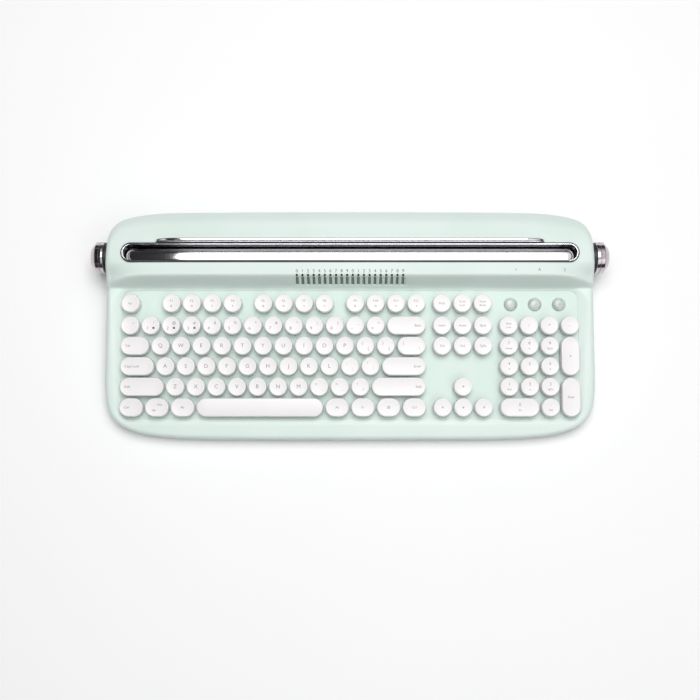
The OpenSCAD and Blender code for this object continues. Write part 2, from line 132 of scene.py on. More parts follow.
# %% Mesh tools
class Piece:
    """Patches of points and faces that become one mesh object."""

    def __init__(self, name):
        self.name = name
        self.points = []
        self.faces = []
        self.marks = []
        self.inks = []
        self.count = 0

    def add(self, points, faces, wear=0.0, ink=0):
        """Adds loose points with faces, a number for each point for worn places and painted highlight,
        and ink the material's place.
        """
        points = np.asarray(points, float).reshape(-1, 3)
        self.points.append(points)
        self.marks.append(np.broadcast_to(np.asarray(wear, float).ravel(), (len(points),)))
        self.faces.extend([tuple(i + self.count for i in f) for f in faces])
        self.inks.extend([ink] * len(faces))
        self.count += len(points)

    def grid(self, grid, wrap_rows=False, wrap_cols=False, keep=None, flip=False, wear=0.0, ink=0):
        """Adds a grid of points (rows, columns, 3) as quads; keep masks the quads."""
        rows, cols = grid.shape[:2]
        index = np.arange(rows * cols).reshape(rows, cols)
        if wrap_rows:
            index = np.vstack([index, index[:1]])
        if wrap_cols:
            index = np.hstack([index, index[:, :1]])
        quads = np.stack([index[:-1, :-1], index[:-1, 1:], index[1:, 1:], index[1:, :-1]], -1)
        if flip:
            quads = quads[..., ::-1]
        quads = quads.reshape(-1, 4)
        if keep is not None:
            quads = quads[np.asarray(keep).ravel()]
        wear = np.broadcast_to(np.asarray(wear, float), (rows, cols))
        self.add(grid.reshape(-1, 3), quads.tolist(), wear.ravel(), ink)

    def build(self, *materials, body=ROOT, slot=None, crisp=38, merge=0.004, recalc=False):
        """Makes the mesh object, in metres, riding on a body of the frame."""
        mesh = bpy.data.meshes.new(self.name)
        mesh.from_pydata((np.concatenate(self.points) * MM).tolist(), [], self.faces)
        mark = mesh.attributes.new("wear", "FLOAT", "POINT")
        mark.data.foreach_set("value", np.concatenate(self.marks).astype(np.float32))
        mesh.polygons.foreach_set("material_index", np.array(self.inks, np.int32))
        work = bmesh.new()
        work.from_mesh(mesh)
        bmesh.ops.remove_doubles(work, verts=work.verts, dist=merge * MM)
        bmesh.ops.dissolve_degenerate(work, edges=work.edges, dist=0.0005 * MM)
        if recalc:
            bmesh.ops.recalc_face_normals(work, faces=work.faces)
        work.to_mesh(mesh)
        work.free()
        mesh.polygons.foreach_set("use_smooth", np.ones(len(mesh.polygons), bool))
        mesh.set_sharp_from_angle(angle=math.radians(crisp))
        obj = bpy.data.objects.new(self.name, mesh)
        bpy.context.scene.collection.objects.link(obj)
        for material in materials:
            mesh.materials.append(material)
        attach(obj, body)
        return obj


def stadium(half_l, count_arc=24, count_run=2, y=0.0):
    """Unit directions and core points round a stadium: core + r * direction is its edge."""
    run = np.linspace(-half_l, half_l, count_run)
    arc = np.linspace(-math.pi / 2, math.pi / 2, count_arc)
    core = np.concatenate([
        run[:-1], np.full(count_arc, half_l), run[::-1][1:-1], np.full(count_arc, -half_l)
    ])
    turn = np.concatenate([
        np.full(count_run - 1, -math.pi / 2), arc,
        np.full(count_run - 2, math.pi / 2), arc + math.pi,
    ])
    core = np.stack([core, np.full_like(core, y)], -1)
    direction = np.stack([np.cos(turn), np.sin(turn)], -1)
    return core, direction


def swept(profile, core, direction):
    """Surface S(row, column) = core(column) + r(row) * direction(column), at height z(row)."""
    profile = np.asarray(profile, float)
    plan = core[None] + profile[:, None, :1] * direction[None]
    height = np.broadcast_to(profile[:, None, 1:], plan.shape[:2] + (1,))
    return np.concatenate([plan, height], -1)


def lathe(profile, segments=64):
    """Surface of revolution about z: S(row, a) = (r cos a, r sin a, z)."""
    turn = np.linspace(0, 2 * math.pi, segments, endpoint=False)
    direction = np.stack([np.cos(turn), np.sin(turn)], -1)
    return swept(profile, np.zeros_like(direction), direction)


def fillet(centre, r, start, end, steps=6):
    """Points of a circular arc in a profile, from one angle in degrees to another."""
    a = np.radians(np.linspace(start, end, steps))
    return np.stack([centre[0] + r * np.cos(a), centre[1] + r * np.sin(a)], -1)


def smooth_min(a, b, k):
    """The lower of two heights with their meeting rounded over about k."""
    h = np.clip(0.5 + 0.5 * (b - a) / k, 0, 1)
    return b * (1 - h) + a * h - k * h * (1 - h)


def smooth_max(a, b, k):
    """The higher of two heights with their meeting rounded over about k."""
    return -smooth_min(-a, -b, k)


def ease(x):
    """Smooth step from 0 to 1."""
    x = np.clip(x, 0, 1)
    return x * x * (3 - 2 * x)


print("a stadium of 2 x 24 arc points has", len(stadium(1.0)[0]), "columns")

# %% [markdown]
# ## Making materials
# Shader arithmetic is written as ordinary arithmetic: a Wire is a value between nodes, and adding or
# multiplying Wires adds the Math nodes. Patterns read the object's own coordinates in metres, so a
# noise of scale 1000 has grains about a millimetre across. The pieces also carry a number for each
# point, 1 along rims, creases and rounded edges and 0 elsewhere. It makes those places glossier, as
# worn by hands, and on the plastics and the domes it also makes them paler: a painted highlight.

# %% Shader tools
class Wire:
    """A number on its way through a material; arithmetic on it adds Math nodes."""

    def __init__(self, paint, socket):
        self.paint = paint
        self.socket = socket

    def math(self, operation, *others):
        """Adds one Math node that works on this value and the others."""
        node = self.paint.tree.nodes.new("ShaderNodeMath")
        node.operation = operation
        for place, value in enumerate((self,) + others):
            self.paint.connect(value, node.inputs[place])
        return Wire(self.paint, node.outputs[0])

    def __add__(self, other):
        return self.math("ADD", other)

    def __radd__(self, other):
        return self.math("ADD", other)

    def __sub__(self, other):
        return self.math("SUBTRACT", other)

    def __rsub__(self, other):
        return (self * -1.0).math("ADD", other)

    def __mul__(self, other):
        return self.math("MULTIPLY", other)

    def __rmul__(self, other):
        return self.math("MULTIPLY", other)

    def __truediv__(self, other):
        return self.math("DIVIDE", other)

    def __pow__(self, other):
        return self.math("POWER", other)

    def clamp(self):
        """The value kept between 0 and 1."""
        return self.math("MAXIMUM", 0.0).math("MINIMUM", 1.0)

    def ramp(self, low, high):
        """Smooth rise from 0 at low to 1 at high."""
        t = ((self - low) / (high - low)).clamp()
        return t * t * (3.0 - 2.0 * t)


class Paint:
    """One procedural material with a Principled shader."""

    def __init__(self, name, **constants):
        self.material = bpy.data.materials.new(name)
        self.material.use_nodes = True
        self.tree = self.material.node_tree
        self.shader = self.tree.nodes["Principled BSDF"]
        for key, value in constants.items():
            self.shader.inputs[key.replace("_", " ")].default_value = value
        self.place = self.node("ShaderNodeTexCoord", output="Object")

    def connect(self, value, socket):
        """Links a Wire to a socket, or sets the socket to a number or colour."""
        if isinstance(value, Wire):
            self.tree.links.new(value.socket, socket)
        elif isinstance(value, (tuple, list)) and len(value) == 3 and socket.type == "RGBA":
            socket.default_value = (*value, 1.0)
        else:
            socket.default_value = value

    def node(self, kind, settings=None, output=0, **inputs):
        """Adds a node, sets its properties and inputs, and gives one output as a Wire."""
        node = self.tree.nodes.new(kind)
        for key, value in (settings or {}).items():
            setattr(node, key, value)
        for key, value in inputs.items():
            self.connect(value, node.inputs[key.replace("_", " ").title()])
        return Wire(self, node.outputs[output])

    def noise(self, scale, detail=3.0, roughness=0.55, stretch=None):
        """Fractal noise about 0.5, over the object's coordinates, stretched if asked."""
        place = self.place
        if stretch:
            place = self.node("ShaderNodeMapping", vector=place, scale=stretch)
        return self.node(
            "ShaderNodeTexNoise", vector=place, scale=scale, detail=detail, roughness=roughness
        )

    def cells(self, scale, output="Distance"):
        """Distance to the nearest of many scattered points."""
        return self.node("ShaderNodeTexVoronoi", output=output, vector=self.place, scale=scale)

    def wear(self):
        """The number carried by the mesh for worn places and painted highlight."""
        return self.node("ShaderNodeAttribute", {"attribute_name": "wear"}, output="Fac")

    def axis(self, which):
        """One of the object's coordinates in metres."""
        return self.node("ShaderNodeSeparateXYZ", output=which.upper(), vector=self.place)

    def mix(self, factor, low, high):
        """Colour between two colours."""
        node = self.tree.nodes.new("ShaderNodeMix")
        node.data_type = "RGBA"
        self.connect(factor, node.inputs["Factor"])
        self.connect(low, node.inputs[6])
        self.connect(high, node.inputs[7])
        return Wire(self, node.outputs[2])

    def finish(self, colour=None, roughness=None, metallic=None, coat=None):
        """Feeds the shader's varying inputs."""
        for key, value in (
            ("Base Color", colour), ("Roughness", roughness),
            ("Metallic", metallic), ("Coat Weight", coat),
        ):
            if value is not None:
                self.connect(value, self.shader.inputs[key])
        return self

    def bump(self, height, strength, distance):
        """Relief: height 0..1 raised by a distance in metres."""
        node = self.tree.nodes.new("ShaderNodeBump")
        node.inputs["Strength"].default_value = strength
        node.inputs["Distance"].default_value = distance
        self.connect(height, node.inputs["Height"])
        self.tree.links.new(node.outputs[0], self.shader.inputs["Normal"])
        return self


# %% [markdown]
# ## The finishes
# * Moulded mint plastic: satin, with a very fine spark-eroded grain, faint cloudiness in the colour
#   and slightly glossier creases where it is handled; rims, creases and rounded edges carry a paler
#   painted highlight.
# * Ivory keys: smoother, a little warmer, glossier on the rims from fingertips, with a painted
#   highlight along the middle of each rim.
# * Chrome: mirror bright with faint haze, fingerprints and hairline scratches along the bar.

# %% Materials
def moulded(name, colour, deep, highlight_tone, gloss=0.42, grain=0.00003):
    """Moulded plastic: cloudy colour, spark-eroded grain, glossier rims with a paler painted highlight,
    a little dust.
    """
    paint = Paint(name, Specular_IOR_Level=0.45)
    cloud = paint.noise(14, 3)
    speck = paint.noise(900, 2)
    tone = paint.mix(cloud.ramp(0.3, 0.7), deep, colour)
    # Rims and edges marked on the mesh turn towards the paler tone: painted highlight.
    tone = paint.mix((paint.wear() * 0.55).clamp(), tone, highlight_tone)
    dust = paint.noise(2400, 2).ramp(0.66, 0.78) * cloud.ramp(0.45, 0.7) * 0.18
    tone = paint.mix(dust, tone, (0.86, 0.86, 0.84))
    shine = gloss + (paint.noise(55, 3) - 0.5) * 0.16 + (speck - 0.5) * 0.10
    shine = shine - paint.wear() * 0.14 + dust * 0.5
    paint.finish(colour=tone, roughness=shine.clamp())
    pits = paint.cells(1500)
    paint.bump(pits * 0.6 + speck * 0.4, 0.35, grain)
    return paint.material


# The last colour of each plastic is the paler tone of its painted highlight.
MINT = moulded("mint_shell", (0.735, 0.835, 0.790), (0.700, 0.810, 0.760), (0.80, 0.885, 0.85))
DECK = moulded("mint_deck", (0.680, 0.805, 0.745), (0.640, 0.775, 0.710), (0.76, 0.86, 0.81), 0.46)
IVORY = moulded("ivory_key", (0.890, 0.870, 0.872), (0.868, 0.848, 0.850), (0.93, 0.92, 0.92), 0.34,
                0.000012)
BLACK = moulded("black_plastic", (0.020, 0.030, 0.027), (0.012, 0.018, 0.016), (0.06, 0.075, 0.07))
# Dark green for the typebars: mint darkened as painted shade, standing for the mint in shade behind the
# slots.
PAINTED_SHADE_MINT = moulded("typebar_green", (0.24, 0.34, 0.29), (0.18, 0.27, 0.22), (0.34, 0.44, 0.39))
RUBBER = moulded("foot_rubber", (0.045, 0.047, 0.047), (0.03, 0.03, 0.03), (0.09, 0.09, 0.09), 0.75)
SWITCH = moulded("switch_body", (0.06, 0.065, 0.07), (0.04, 0.045, 0.05), (0.12, 0.12, 0.12), 0.5)


def chromed(name, bright, dull, haze=0.05, along=(1, 1, 1)):
    """Plated metal: hairline scratches stretched along one way, haze and finger marks."""
    paint = Paint(name, Metallic=1.0)
    hair = paint.noise(220, 2, 0.6, stretch=along).ramp(0.62, 0.70)
    print_marks = paint.noise(38, 4, 0.7).ramp(0.52, 0.72)
    ridges = paint.noise(700, 1).ramp(0.4, 0.6) * print_marks
    tone = paint.mix(print_marks * 0.35 + hair * 0.15, bright, dull)
    shine = haze + print_marks * 0.045 + ridges * 0.03 + hair * 0.05 + paint.wear() * 0.05
    paint.finish(colour=tone, roughness=shine.clamp())
    paint.bump(hair * 0.15 + paint.noise(9, 2) * 0.3, 0.04, 0.00003)
    return paint.material


CHROME = chromed("chrome_trim", (0.80, 0.80, 0.815), (0.66, 0.66, 0.68), 0.045, (0.04, 1.5, 1.5))
# Dark metal for the inside of the tray: painted shade down in the deep slot.
SLOT_PAINTED_SHADE = chromed("tray_liner", (0.13, 0.13, 0.138), (0.09, 0.09, 0.095), 0.10, (0.04, 1.5, 1.5))
KNOB = chromed("knob_chrome", (0.57, 0.51, 0.54), (0.41, 0.36, 0.40), 0.06, (3.0, 0.4, 0.4))
STEEL = chromed("zinc_steel", (0.55, 0.56, 0.58), (0.42, 0.43, 0.45), 0.28, (1, 6, 1))


def frosted(name):
    """Frosted light pipe: grey, slightly clouded, with a fine etched skin and a paler painted highlight
    where the mesh marks it.
    """
    paint = Paint(name, Specular_IOR_Level=0.6, Coat_Weight=0.35, Coat_Roughness=0.12)
    cloud = paint.noise(160, 4)
    tone = paint.mix(cloud.ramp(0.35, 0.65), (0.40, 0.46, 0.43), (0.52, 0.58, 0.55))
    # Where the mesh marks it, the dome turns pale grey: painted highlight.
    tone = paint.mix(paint.wear().clamp(), tone, (0.70, 0.75, 0.73))
    paint.finish(colour=tone, roughness=(0.30 + (paint.noise(1600, 2) - 0.5) * 0.3).clamp())
    paint.bump(paint.noise(2600, 3), 0.3, 0.00002)
    return paint.material


def inked(name, colour, worn):
    """Printed legend: flat ink, thinner where it is rubbed."""
    paint = Paint(name, Specular_IOR_Level=0.3)
    rub = paint.noise(1300, 3).ramp(0.42, 0.62)
    paint.finish(colour=paint.mix(rub * 0.55, colour, worn), roughness=0.55 + rub * 0.15)
    paint.bump(paint.noise(4000, 2), 0.2, 0.00001)
    return paint.material


def circuit(name):
    """Solder mask with copper lines below it on a millimetre grid."""
    paint = Paint(name)
    across = (paint.axis("x") * 900.0).math("SINE").ramp(0.72, 0.86)
    along = (paint.axis("y") * 900.0).math("SINE").ramp(0.72, 0.86)
    patch = paint.noise(90, 1).ramp(0.49, 0.51)
    lines = across * patch + along * (1.0 - patch)
    tone = paint.mix(lines.clamp(), (0.010, 0.10, 0.045), (0.045, 0.24, 0.10))
    paint.finish(colour=tone, roughness=0.32 + paint.noise(300, 2) * 0.12)
    paint.bump(lines, 0.3, 0.00003)
    return paint.material


def film(name, colour, line, rough):
    """Printed or moulded sheet with faint lines along it."""
    paint = Paint(name, Specular_IOR_Level=0.5)
    lines = (paint.axis("x") * 1650.0).math("SINE").ramp(0.6, 0.8)
    tone = paint.mix(lines * 0.6, colour, line)
    tone = paint.mix(paint.noise(60, 3).ramp(0.4, 0.7) * 0.3, tone, line)
    paint.finish(colour=tone, roughness=rough + paint.noise(400, 2) * 0.1)
    paint.bump(lines, 0.2, 0.00002)
    return paint.material


LENS = frosted("frosted_lens")
INK = inked("legend_ink", (0.20, 0.185, 0.195), (0.55, 0.52, 0.53))
DARK_INK = inked("legend_dark_ink", (0.09, 0.085, 0.09), (0.22, 0.21, 0.22))
BOARD = circuit("circuit_board")
MEMBRANE = film("printed_film", (0.50, 0.56, 0.58), (0.30, 0.33, 0.36), 0.25)
SILICONE = film("silicone", (0.66, 0.70, 0.68), (0.58, 0.62, 0.60), 0.5)
SLEEVE = film("cell_sleeve", (0.06, 0.13, 0.10), (0.20, 0.26, 0.22), 0.3)
WIRE = film("lead_insulation", (0.42, 0.03, 0.03), (0.32, 0.02, 0.02), 0.35)
print("materials:", len(bpy.data.materials))

# %% [markdown]
# ## Finishes on the parts kept from CAD
# The deck plate, the lower case, the inner parts and the fixings keep their CAD shape.

# %% Dressing the CAD nodes
KEPT = {
    "bottom_case": MINT, "key_deck": DECK, "battery_door": MINT, "rotary_switches": SWITCH,
    "controller_board": BOARD, "membrane": MEMBRANE,
    "backing_plate": STEEL, "battery_cells": SLEEVE, "battery_contacts": STEEL,
    "case_screws": STEEL, "wire_harness": WIRE, "rubber_feet": RUBBER,
}
for node, material in KEPT.items():
    slots = frame["nodes"][node].data.materials
    slots.clear()
    slots.append(material)
print("dressed:", len(KEPT), "CAD nodes")


# %% [markdown]
# ## The outline of the case
# In plan the case is a squared ellipse, |x/a|^p + |y/b|^p = 1, squarer at the back (p = 10) than at
# the front (p = 7.5), and its front and back edges bow out a little. The moulded shell is drafted:
# its side walls lean in slightly towards the top, and the top meets them in a quarter round, small
# at the front and sides and large across the hood's back.

# %% Outline
BACK_POWER = 10
FRONT_POWER = 7.5
BOW = 1.0
STEP = 3.0


def outline_points(t):
    """x = a sgn(cos t)|cos t|^(2/p), y = (b - bow (x/a)^2) sgn(sin t)|sin t|^(2/p)."""
    c, s = np.cos(t), np.sin(t)
    power = np.where(s < 0, FRONT_POWER, BACK_POWER)
    x = HALF_W * np.sign(c) * np.abs(c) ** (2 / power)
    y = (HALF_D - BOW * (x / HALF_W) ** 2) * np.sign(s) * np.abs(s) ** (2 / power)
    return np.stack([x, y], -1)


def even_loop(points, step):
    """A closed line resampled at even steps along its length."""
    closed = np.vstack([points, points[:1]])
    length = np.concatenate([[0], np.cumsum(np.linalg.norm(np.diff(closed, axis=0), axis=1))])
    count = int(round(length[-1] / step))
    at = np.linspace(0, length[-1], count, endpoint=False)
    return np.stack([np.interp(at, length, closed[:, i]) for i in (0, 1)], -1)


def loop_normals(points):
    """Outward unit normals of a closed line that runs anticlockwise."""
    run = np.roll(points, -1, 0) - np.roll(points, 1, 0)
    normal = np.stack([run[:, 1], -run[:, 0]], -1)
    return normal / np.linalg.norm(normal, axis=1, keepdims=True)


turn = np.linspace(0, 2 * math.pi, 40000, endpoint=False)
EDGE = even_loop(outline_points(turn), STEP)
EDGE_N = loop_normals(EDGE)
print("outline:", len(EDGE), "points, widest", round(float(EDGE[:, 0].max()), 2))


# %% [markdown]
# ## Height of the shell's top
# The rim beside the keys starts just proud of the deck and slopes up outwards to a line that climbs
# towards the hood. The hood has a leaning front face, a rounded crease and a gently crowned top.

# %% Top heights
OPEN_HALF_W = 214.6
OPEN_FRONT = ROW0_Y - 11 * math.cos(TILT)
OPEN_BACK = ROW0_Y + 110 * math.cos(TILT)
OPEN_R = 8.5
FACE_SLOPE = (HOOD_Z - 2 - deck_height(FOOT_Y)) / (CREASE_Y - FOOT_Y)
# Rim: step up from the deck and slope outwards; how high it may climb at the front, and how much
# more at the hood
RIM_STEP, RIM_SLOPE = 0.7, 0.42
CLIMB_FRONT, CLIMB_MORE = 1.6, 3.4
# Hood top: line of its highest point, fall 22 mm from it, fall towards the ends, fall of the front
# corners
CROWN_Y, CROWN_FALL, END_FALL, CORNER_FALL = 63.4, 2.0, 0.9, 4.5


def opening_edge(points):
    """Nearest points on the deck opening, a rounded box, with the distance from them."""
    low = np.array([-OPEN_HALF_W + OPEN_R, OPEN_FRONT + OPEN_R])
    high = np.array([OPEN_HALF_W - OPEN_R, OPEN_BACK - OPEN_R])
    core = np.clip(points, low, high)
    away = points - core
    far = np.linalg.norm(away, axis=-1, keepdims=True)
    return core + OPEN_R * away / np.maximum(far, 1e-6), far[..., 0] - OPEN_R


def top_height(points):
    """Height of the shell over places in plan: rim, hood face and hood top blended together."""
    x, y = points[..., 0], points[..., 1]
    away = opening_edge(points)[1]
    climb = CLIMB_FRONT + CLIMB_MORE * np.clip((y + HALF_D) / (FOOT_Y + HALF_D), 0, 1.1)
    climb = climb * (1 - 0.5 * ease((y - 20) / 14))
    rim = deck_height(y) + smooth_min(RIM_STEP + RIM_SLOPE * np.maximum(away, 0), climb, 1.2)
    face = deck_height(FOOT_Y) + FACE_FOOT + FACE_SLOPE * (y - FOOT_Y)
    crown = HOOD_Z - 0.1 - CROWN_FALL * ((y - CROWN_Y) / 22.0) ** 2
    crown = crown - END_FALL * np.clip((np.abs(x) - 150) / 80, 0, 1) ** 2
    corner = np.clip((np.abs(x) - 188) / 27, 0, 1.3) ** 2.2
    crown = crown - CORNER_FALL * corner * (1 - ease((y - 40) / 15))
    return smooth_max(rim, smooth_min(face, crown, 2.4), 1.6)


DRAFT = 0.075
# Shoulder radius: at the sides, how much more at the back, and at the front and beside the face
ROUND_SIDE, ROUND_BACK_MORE, ROUND_SMALL = 4.6, 14.4, 3.6
BACKWARD = np.clip(EDGE_N[:, 1], 0, 1)
ROUND = ROUND_SIDE + ROUND_BACK_MORE * ease((BACKWARD - 0.25) / 0.65) * (EDGE[:, 1] > 0)
ROUND[EDGE_N[:, 1] < -0.5] = ROUND_SMALL
ROUND[(np.abs(EDGE_N[:, 0]) > 0.9) & (EDGE[:, 1] > 14) & (EDGE[:, 1] < 52)] = ROUND_SMALL
ROUND = np.convolve(np.concatenate([ROUND[-6:], ROUND, ROUND[:6]]), np.ones(13) / 13, "valid")


def draft(z):
    """How far the side walls lean in at a height: a set slope above 14 mm, on the sides only."""
    return DRAFT * np.maximum(z - 14, 0) * np.abs(EDGE_N[:, 0])


height = np.full(len(EDGE), 30.0)
for _ in range(4):
    SHOULDER = EDGE - EDGE_N * (ROUND + draft(height))[:, None]
    height = top_height(SHOULDER)
SHOULDER_Z = height
print("rim", round(float(height.min()), 1), "to hood", round(float(height.max()), 1))

# %% [markdown]
# ## The shell in three patches
# A: the hood, between the tray's stadium hole and the shoulder line, down to the foot of the face.
# B: the rim, between the deck opening and the shoulder line.
# C: the shoulder's quarter round and the wall below it, down to the seam.
# Each outer point is joined to the nearest point of the inner edge, so the columns run square to
# the edges, and both patches share the same points along the foot line. Columns stand exactly at
# the edges of the grille's slots, which are left out of the quads; Solidify then gives the wall.

# %% Shoulder line split at the foot of the hood
SLOTS = 20
SLOT_PITCH = 98.4 / (SLOTS - 1)
SLOT_W = 2.2
slot_x = (np.arange(SLOTS) - (SLOTS - 1) / 2) * SLOT_PITCH

above = SHOULDER[:, 1] > FOOT_Y
first = int(np.argmax(above & ~np.roll(above, 1)))
order = np.roll(np.arange(len(EDGE)), -first)
back_ids = order[: int(above.sum())]
front_ids = order[int(above.sum()):]


def crossing(a, b):
    """The values between two neighbouring shoulder points where y is the foot line."""
    return (FOOT_Y - SHOULDER[a, 1]) / (SHOULDER[b, 1] - SHOULDER[a, 1])


def shoulder_at(a, b):
    """The shoulder's point on the foot line, between two neighbouring points."""
    t = crossing(a, b)
    return SHOULDER[a] * (1 - t) + SHOULDER[b] * t


right_foot = shoulder_at(front_ids[-1], back_ids[0])
left_foot = shoulder_at(back_ids[-1], front_ids[0])
edges_x = np.sort(np.concatenate([slot_x - SLOT_W / 2, slot_x, slot_x + SLOT_W / 2]))
side_x = np.linspace(54, right_foot[0] - 2.5, 60)
foot_x = np.concatenate([-side_x[::-1], edges_x, side_x])
foot_line = np.stack([foot_x, np.full_like(foot_x, FOOT_Y)], -1)
print("columns along the foot:", len(foot_x), "slots:", SLOTS)

# %% Patch A: the hood round the tray
TRAY_R = (tray_high[1] - tray_low[1]) / 2
TRAY_Y = (tray_high[1] + tray_low[1]) / 2
TRAY_CORE = tray_high[0] - TRAY_R
CREASE_F = (tray_low[1] - CREASE_Y) / (tray_low[1] - FOOT_Y)
SLOT_TOP = CREASE_F + 0.075
SLOT_LOW = 0.86


def tray_edge(points):
    """Nearest points on the tray's stadium."""
    core = np.stack([np.clip(points[:, 0], -TRAY_CORE, TRAY_CORE), np.full(len(points), TRAY_Y)], -1)
    away = points - core
    return core + (TRAY_R + 0.12) * away / np.linalg.norm(away, axis=1, keepdims=True)


hood_outer = np.vstack([right_foot[None], SHOULDER[back_ids], left_foot[None], foot_line])
hood_inner = tray_edge(hood_outer)
near_crease = np.array([-0.07, -0.045, -0.025, -0.01, 0, 0.01, 0.025, 0.05])
hood_fractions = np.unique(np.concatenate([
    np.linspace(0, 0.44, 8), CREASE_F + near_crease, [SLOT_TOP, SLOT_LOW], np.linspace(0.66, 1.0, 8),
]))
hood_plan = hood_inner[None] + hood_fractions[:, None, None] * (hood_outer - hood_inner)[None]
hood = np.concatenate([hood_plan, top_height(hood_plan)[..., None]], -1)
hood_lip = hood[:1] * [1, 1, 0] + [0, 0, 1] * (hood[:1] - [0, 0, 2.4])
hood_grid = np.vstack([hood_lip, hood])
# Along the tray's edge and the hood's crease the mint is painted paler as a highlight and made glossier.
hood_highlight_and_gloss = np.concatenate([[0, 1], np.zeros(len(hood_fractions) - 1)])[:, None] * 0.5
crease_highlight_and_gloss = np.exp(-(((hood_grid[..., 1] - CREASE_Y) / 1.2) ** 2)) * (hood_grid[..., 2] > 44)
front_columns = np.arange(len(hood_outer)) >= len(hood_outer) - len(foot_x)
crease_highlight_and_gloss = crease_highlight_and_gloss * front_columns
column_x = (hood_outer[:, 0] + np.roll(hood_outer[:, 0], -1)) / 2
in_slot = front_columns & (np.abs(column_x[:, None] - slot_x[None]).min(1) < SLOT_W / 2 - 0.01)
row_middle = np.concatenate([[-1], (hood_fractions[1:] + hood_fractions[:-1]) / 2])
slot_rows = (row_middle > SLOT_TOP) & (row_middle < SLOT_LOW)
hood_keep = ~(slot_rows[:, None] & in_slot[None])
shell = Piece("shell_top")
shell.grid(hood_grid, wrap_cols=True, keep=hood_keep, wear=np.maximum(hood_highlight_and_gloss, crease_highlight_and_gloss))
print("slots cut:", int((~hood_keep).sum()), "quads")

# %% Patch B: the rim round the deck
rim_outer = np.vstack([left_foot[None], SHOULDER[front_ids], right_foot[None], foot_line[::-1]])
rim_inner = opening_edge(rim_outer)[0]
rim_fractions = np.array([0, 0.03, 0.07, 0.14, 0.24, 0.36, 0.48, 0.60, 0.72, 0.84, 0.93, 1.0])
rim_plan = rim_inner[None] + rim_fractions[:, None, None] * (rim_outer - rim_inner)[None]
rim = np.concatenate([rim_plan, top_height(rim_plan)[..., None]], -1)
rim_lip = np.concatenate([rim_inner, deck_height(rim_inner[:, 1:2]) - 0.1], -1)[None]
rim_grid = np.vstack([rim_lip, rim])
# At the rim's step beside the deck the mint is painted paler as a highlight and made glossier.
rim_highlight_and_gloss = np.concatenate([[0.2, 1, 0.8, 0.3], np.zeros(len(rim_fractions) - 3)])[:, None]
shell.grid(rim_grid, wrap_cols=True, wear=rim_highlight_and_gloss)
print("rim patch:", rim_grid.shape[0], "rows by", rim_grid.shape[1], "columns")

# %% Patch C: quarter round and wall
WALL = 1.6
SEAM_GAP = 0.15
lower = SEAM + SEAM_GAP
angles = np.radians(np.linspace(0, 90, 10))
rows = []
for a in angles:
    inset = ROUND * (1 - math.sin(a))
    z = SHOULDER_Z - ROUND * (1 - math.cos(a))
    rows.append((inset + draft(SHOULDER_Z) * (1 - math.sin(a)) + draft(z) * math.sin(a), z))
wall_top = rows[-1][1]
for f in (0.25, 0.5, 0.75, 0.92):
    z = wall_top * (1 - f) + (lower + 0.4) * f
    rows.append((draft(z), z))
rows.append((np.full(len(EDGE), 0.12), np.full(len(EDGE), lower + 0.12)))
rows.append((np.full(len(EDGE), 0.55), np.full(len(EDGE), lower)))
wall = np.stack([np.column_stack([EDGE - EDGE_N * i[:, None], z]) for i, z in rows])
columns = []
for group, before in ((back_ids, front_ids), (front_ids, back_ids)):
    a, b = before[-1], group[0]
    t = crossing(a, b)
    columns.append((wall[:, a] * (1 - t) + wall[:, b] * t)[:, None])
    columns.append(wall[:, group])
wall_grid = np.concatenate(columns, 1)
wall_grid[0, :, 2] = top_height(wall_grid[0, :, :2])
beside = np.roll(wall_grid, -1, 1)
middle = (wall_grid[1:] + beside[1:] + wall_grid[:-1] + beside[:-1]) / 4
reach = np.hypot(middle[..., 1] - KNOB_Y, middle[..., 2] - KNOB_Z)
wall_keep = ~((reach < 6.4) & (np.abs(middle[..., 0]) > HALF_W - 8))
# Across the middle of the shoulder's quarter round the mint is painted paler as a highlight and made
# glossier.
shoulder_highlight_and_gloss = np.concatenate([np.zeros(3), [0.2, 0.35, 0.35, 0.2], np.zeros(len(rows) - 7)])[:, None]
shell.grid(wall_grid, wrap_cols=True, keep=wall_keep, flip=True, wear=shoulder_highlight_and_gloss)
shell_top = shell.build(MINT, slot="mint_shell", crisp=50, merge=0.02, recalc=True)
thick = shell_top.modifiers.new("wall", "SOLIDIFY")
thick.thickness = WALL * MM
thick.offset = -1
thick.use_even_offset = False
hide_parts("top_case")
print("shell quads:", len(shell_top.data.polygons))

# %% [markdown]
# ## Tray, platen bar and back rest
# The tray is a thin stadium sunk in the hood: a black outer flange, a chromed rolled rim and a dark
# metal inside. The black flange and the dark inside are painted shade, standing for the shadow gap
# round the tray and the shade down in the slot. The platen bar lies along its front half: straight
# sides under a barely crowned top with rounded edges and round ends. The back rest stands behind the
# slot and props a tablet: a thin plate with a rounded top edge whose ends sweep down in curves. All
# three are one section swept along a line, because that keeps the highlights on the chrome unbroken
# from end to end.

# %% Tray
core, direction = stadium(TRAY_CORE, 28, 80, TRAY_Y)
z_top, z_low = tray_high[2], tray_low[2]
outside = np.vstack([
    [[0, z_low], [TRAY_R - 1.2, z_low]], fillet((TRAY_R - 1.2, z_low + 1.2), 1.2, -90, 0, 5),
    fillet((TRAY_R - 0.5, z_top - 0.5), 0.5, 0, 90, 5), [[TRAY_R - 1.15, z_top - 0.2]],
])
roll = np.vstack([outside[-1:], fillet((TRAY_R - 1.7, z_top - 0.55), 0.5, 50, 180, 7)])
inside = np.vstack([roll[-1:], fillet((TRAY_R - 3.4, z_low + 3.0), 2.2, 0, -90, 7), [[0, z_low + 0.8]]])
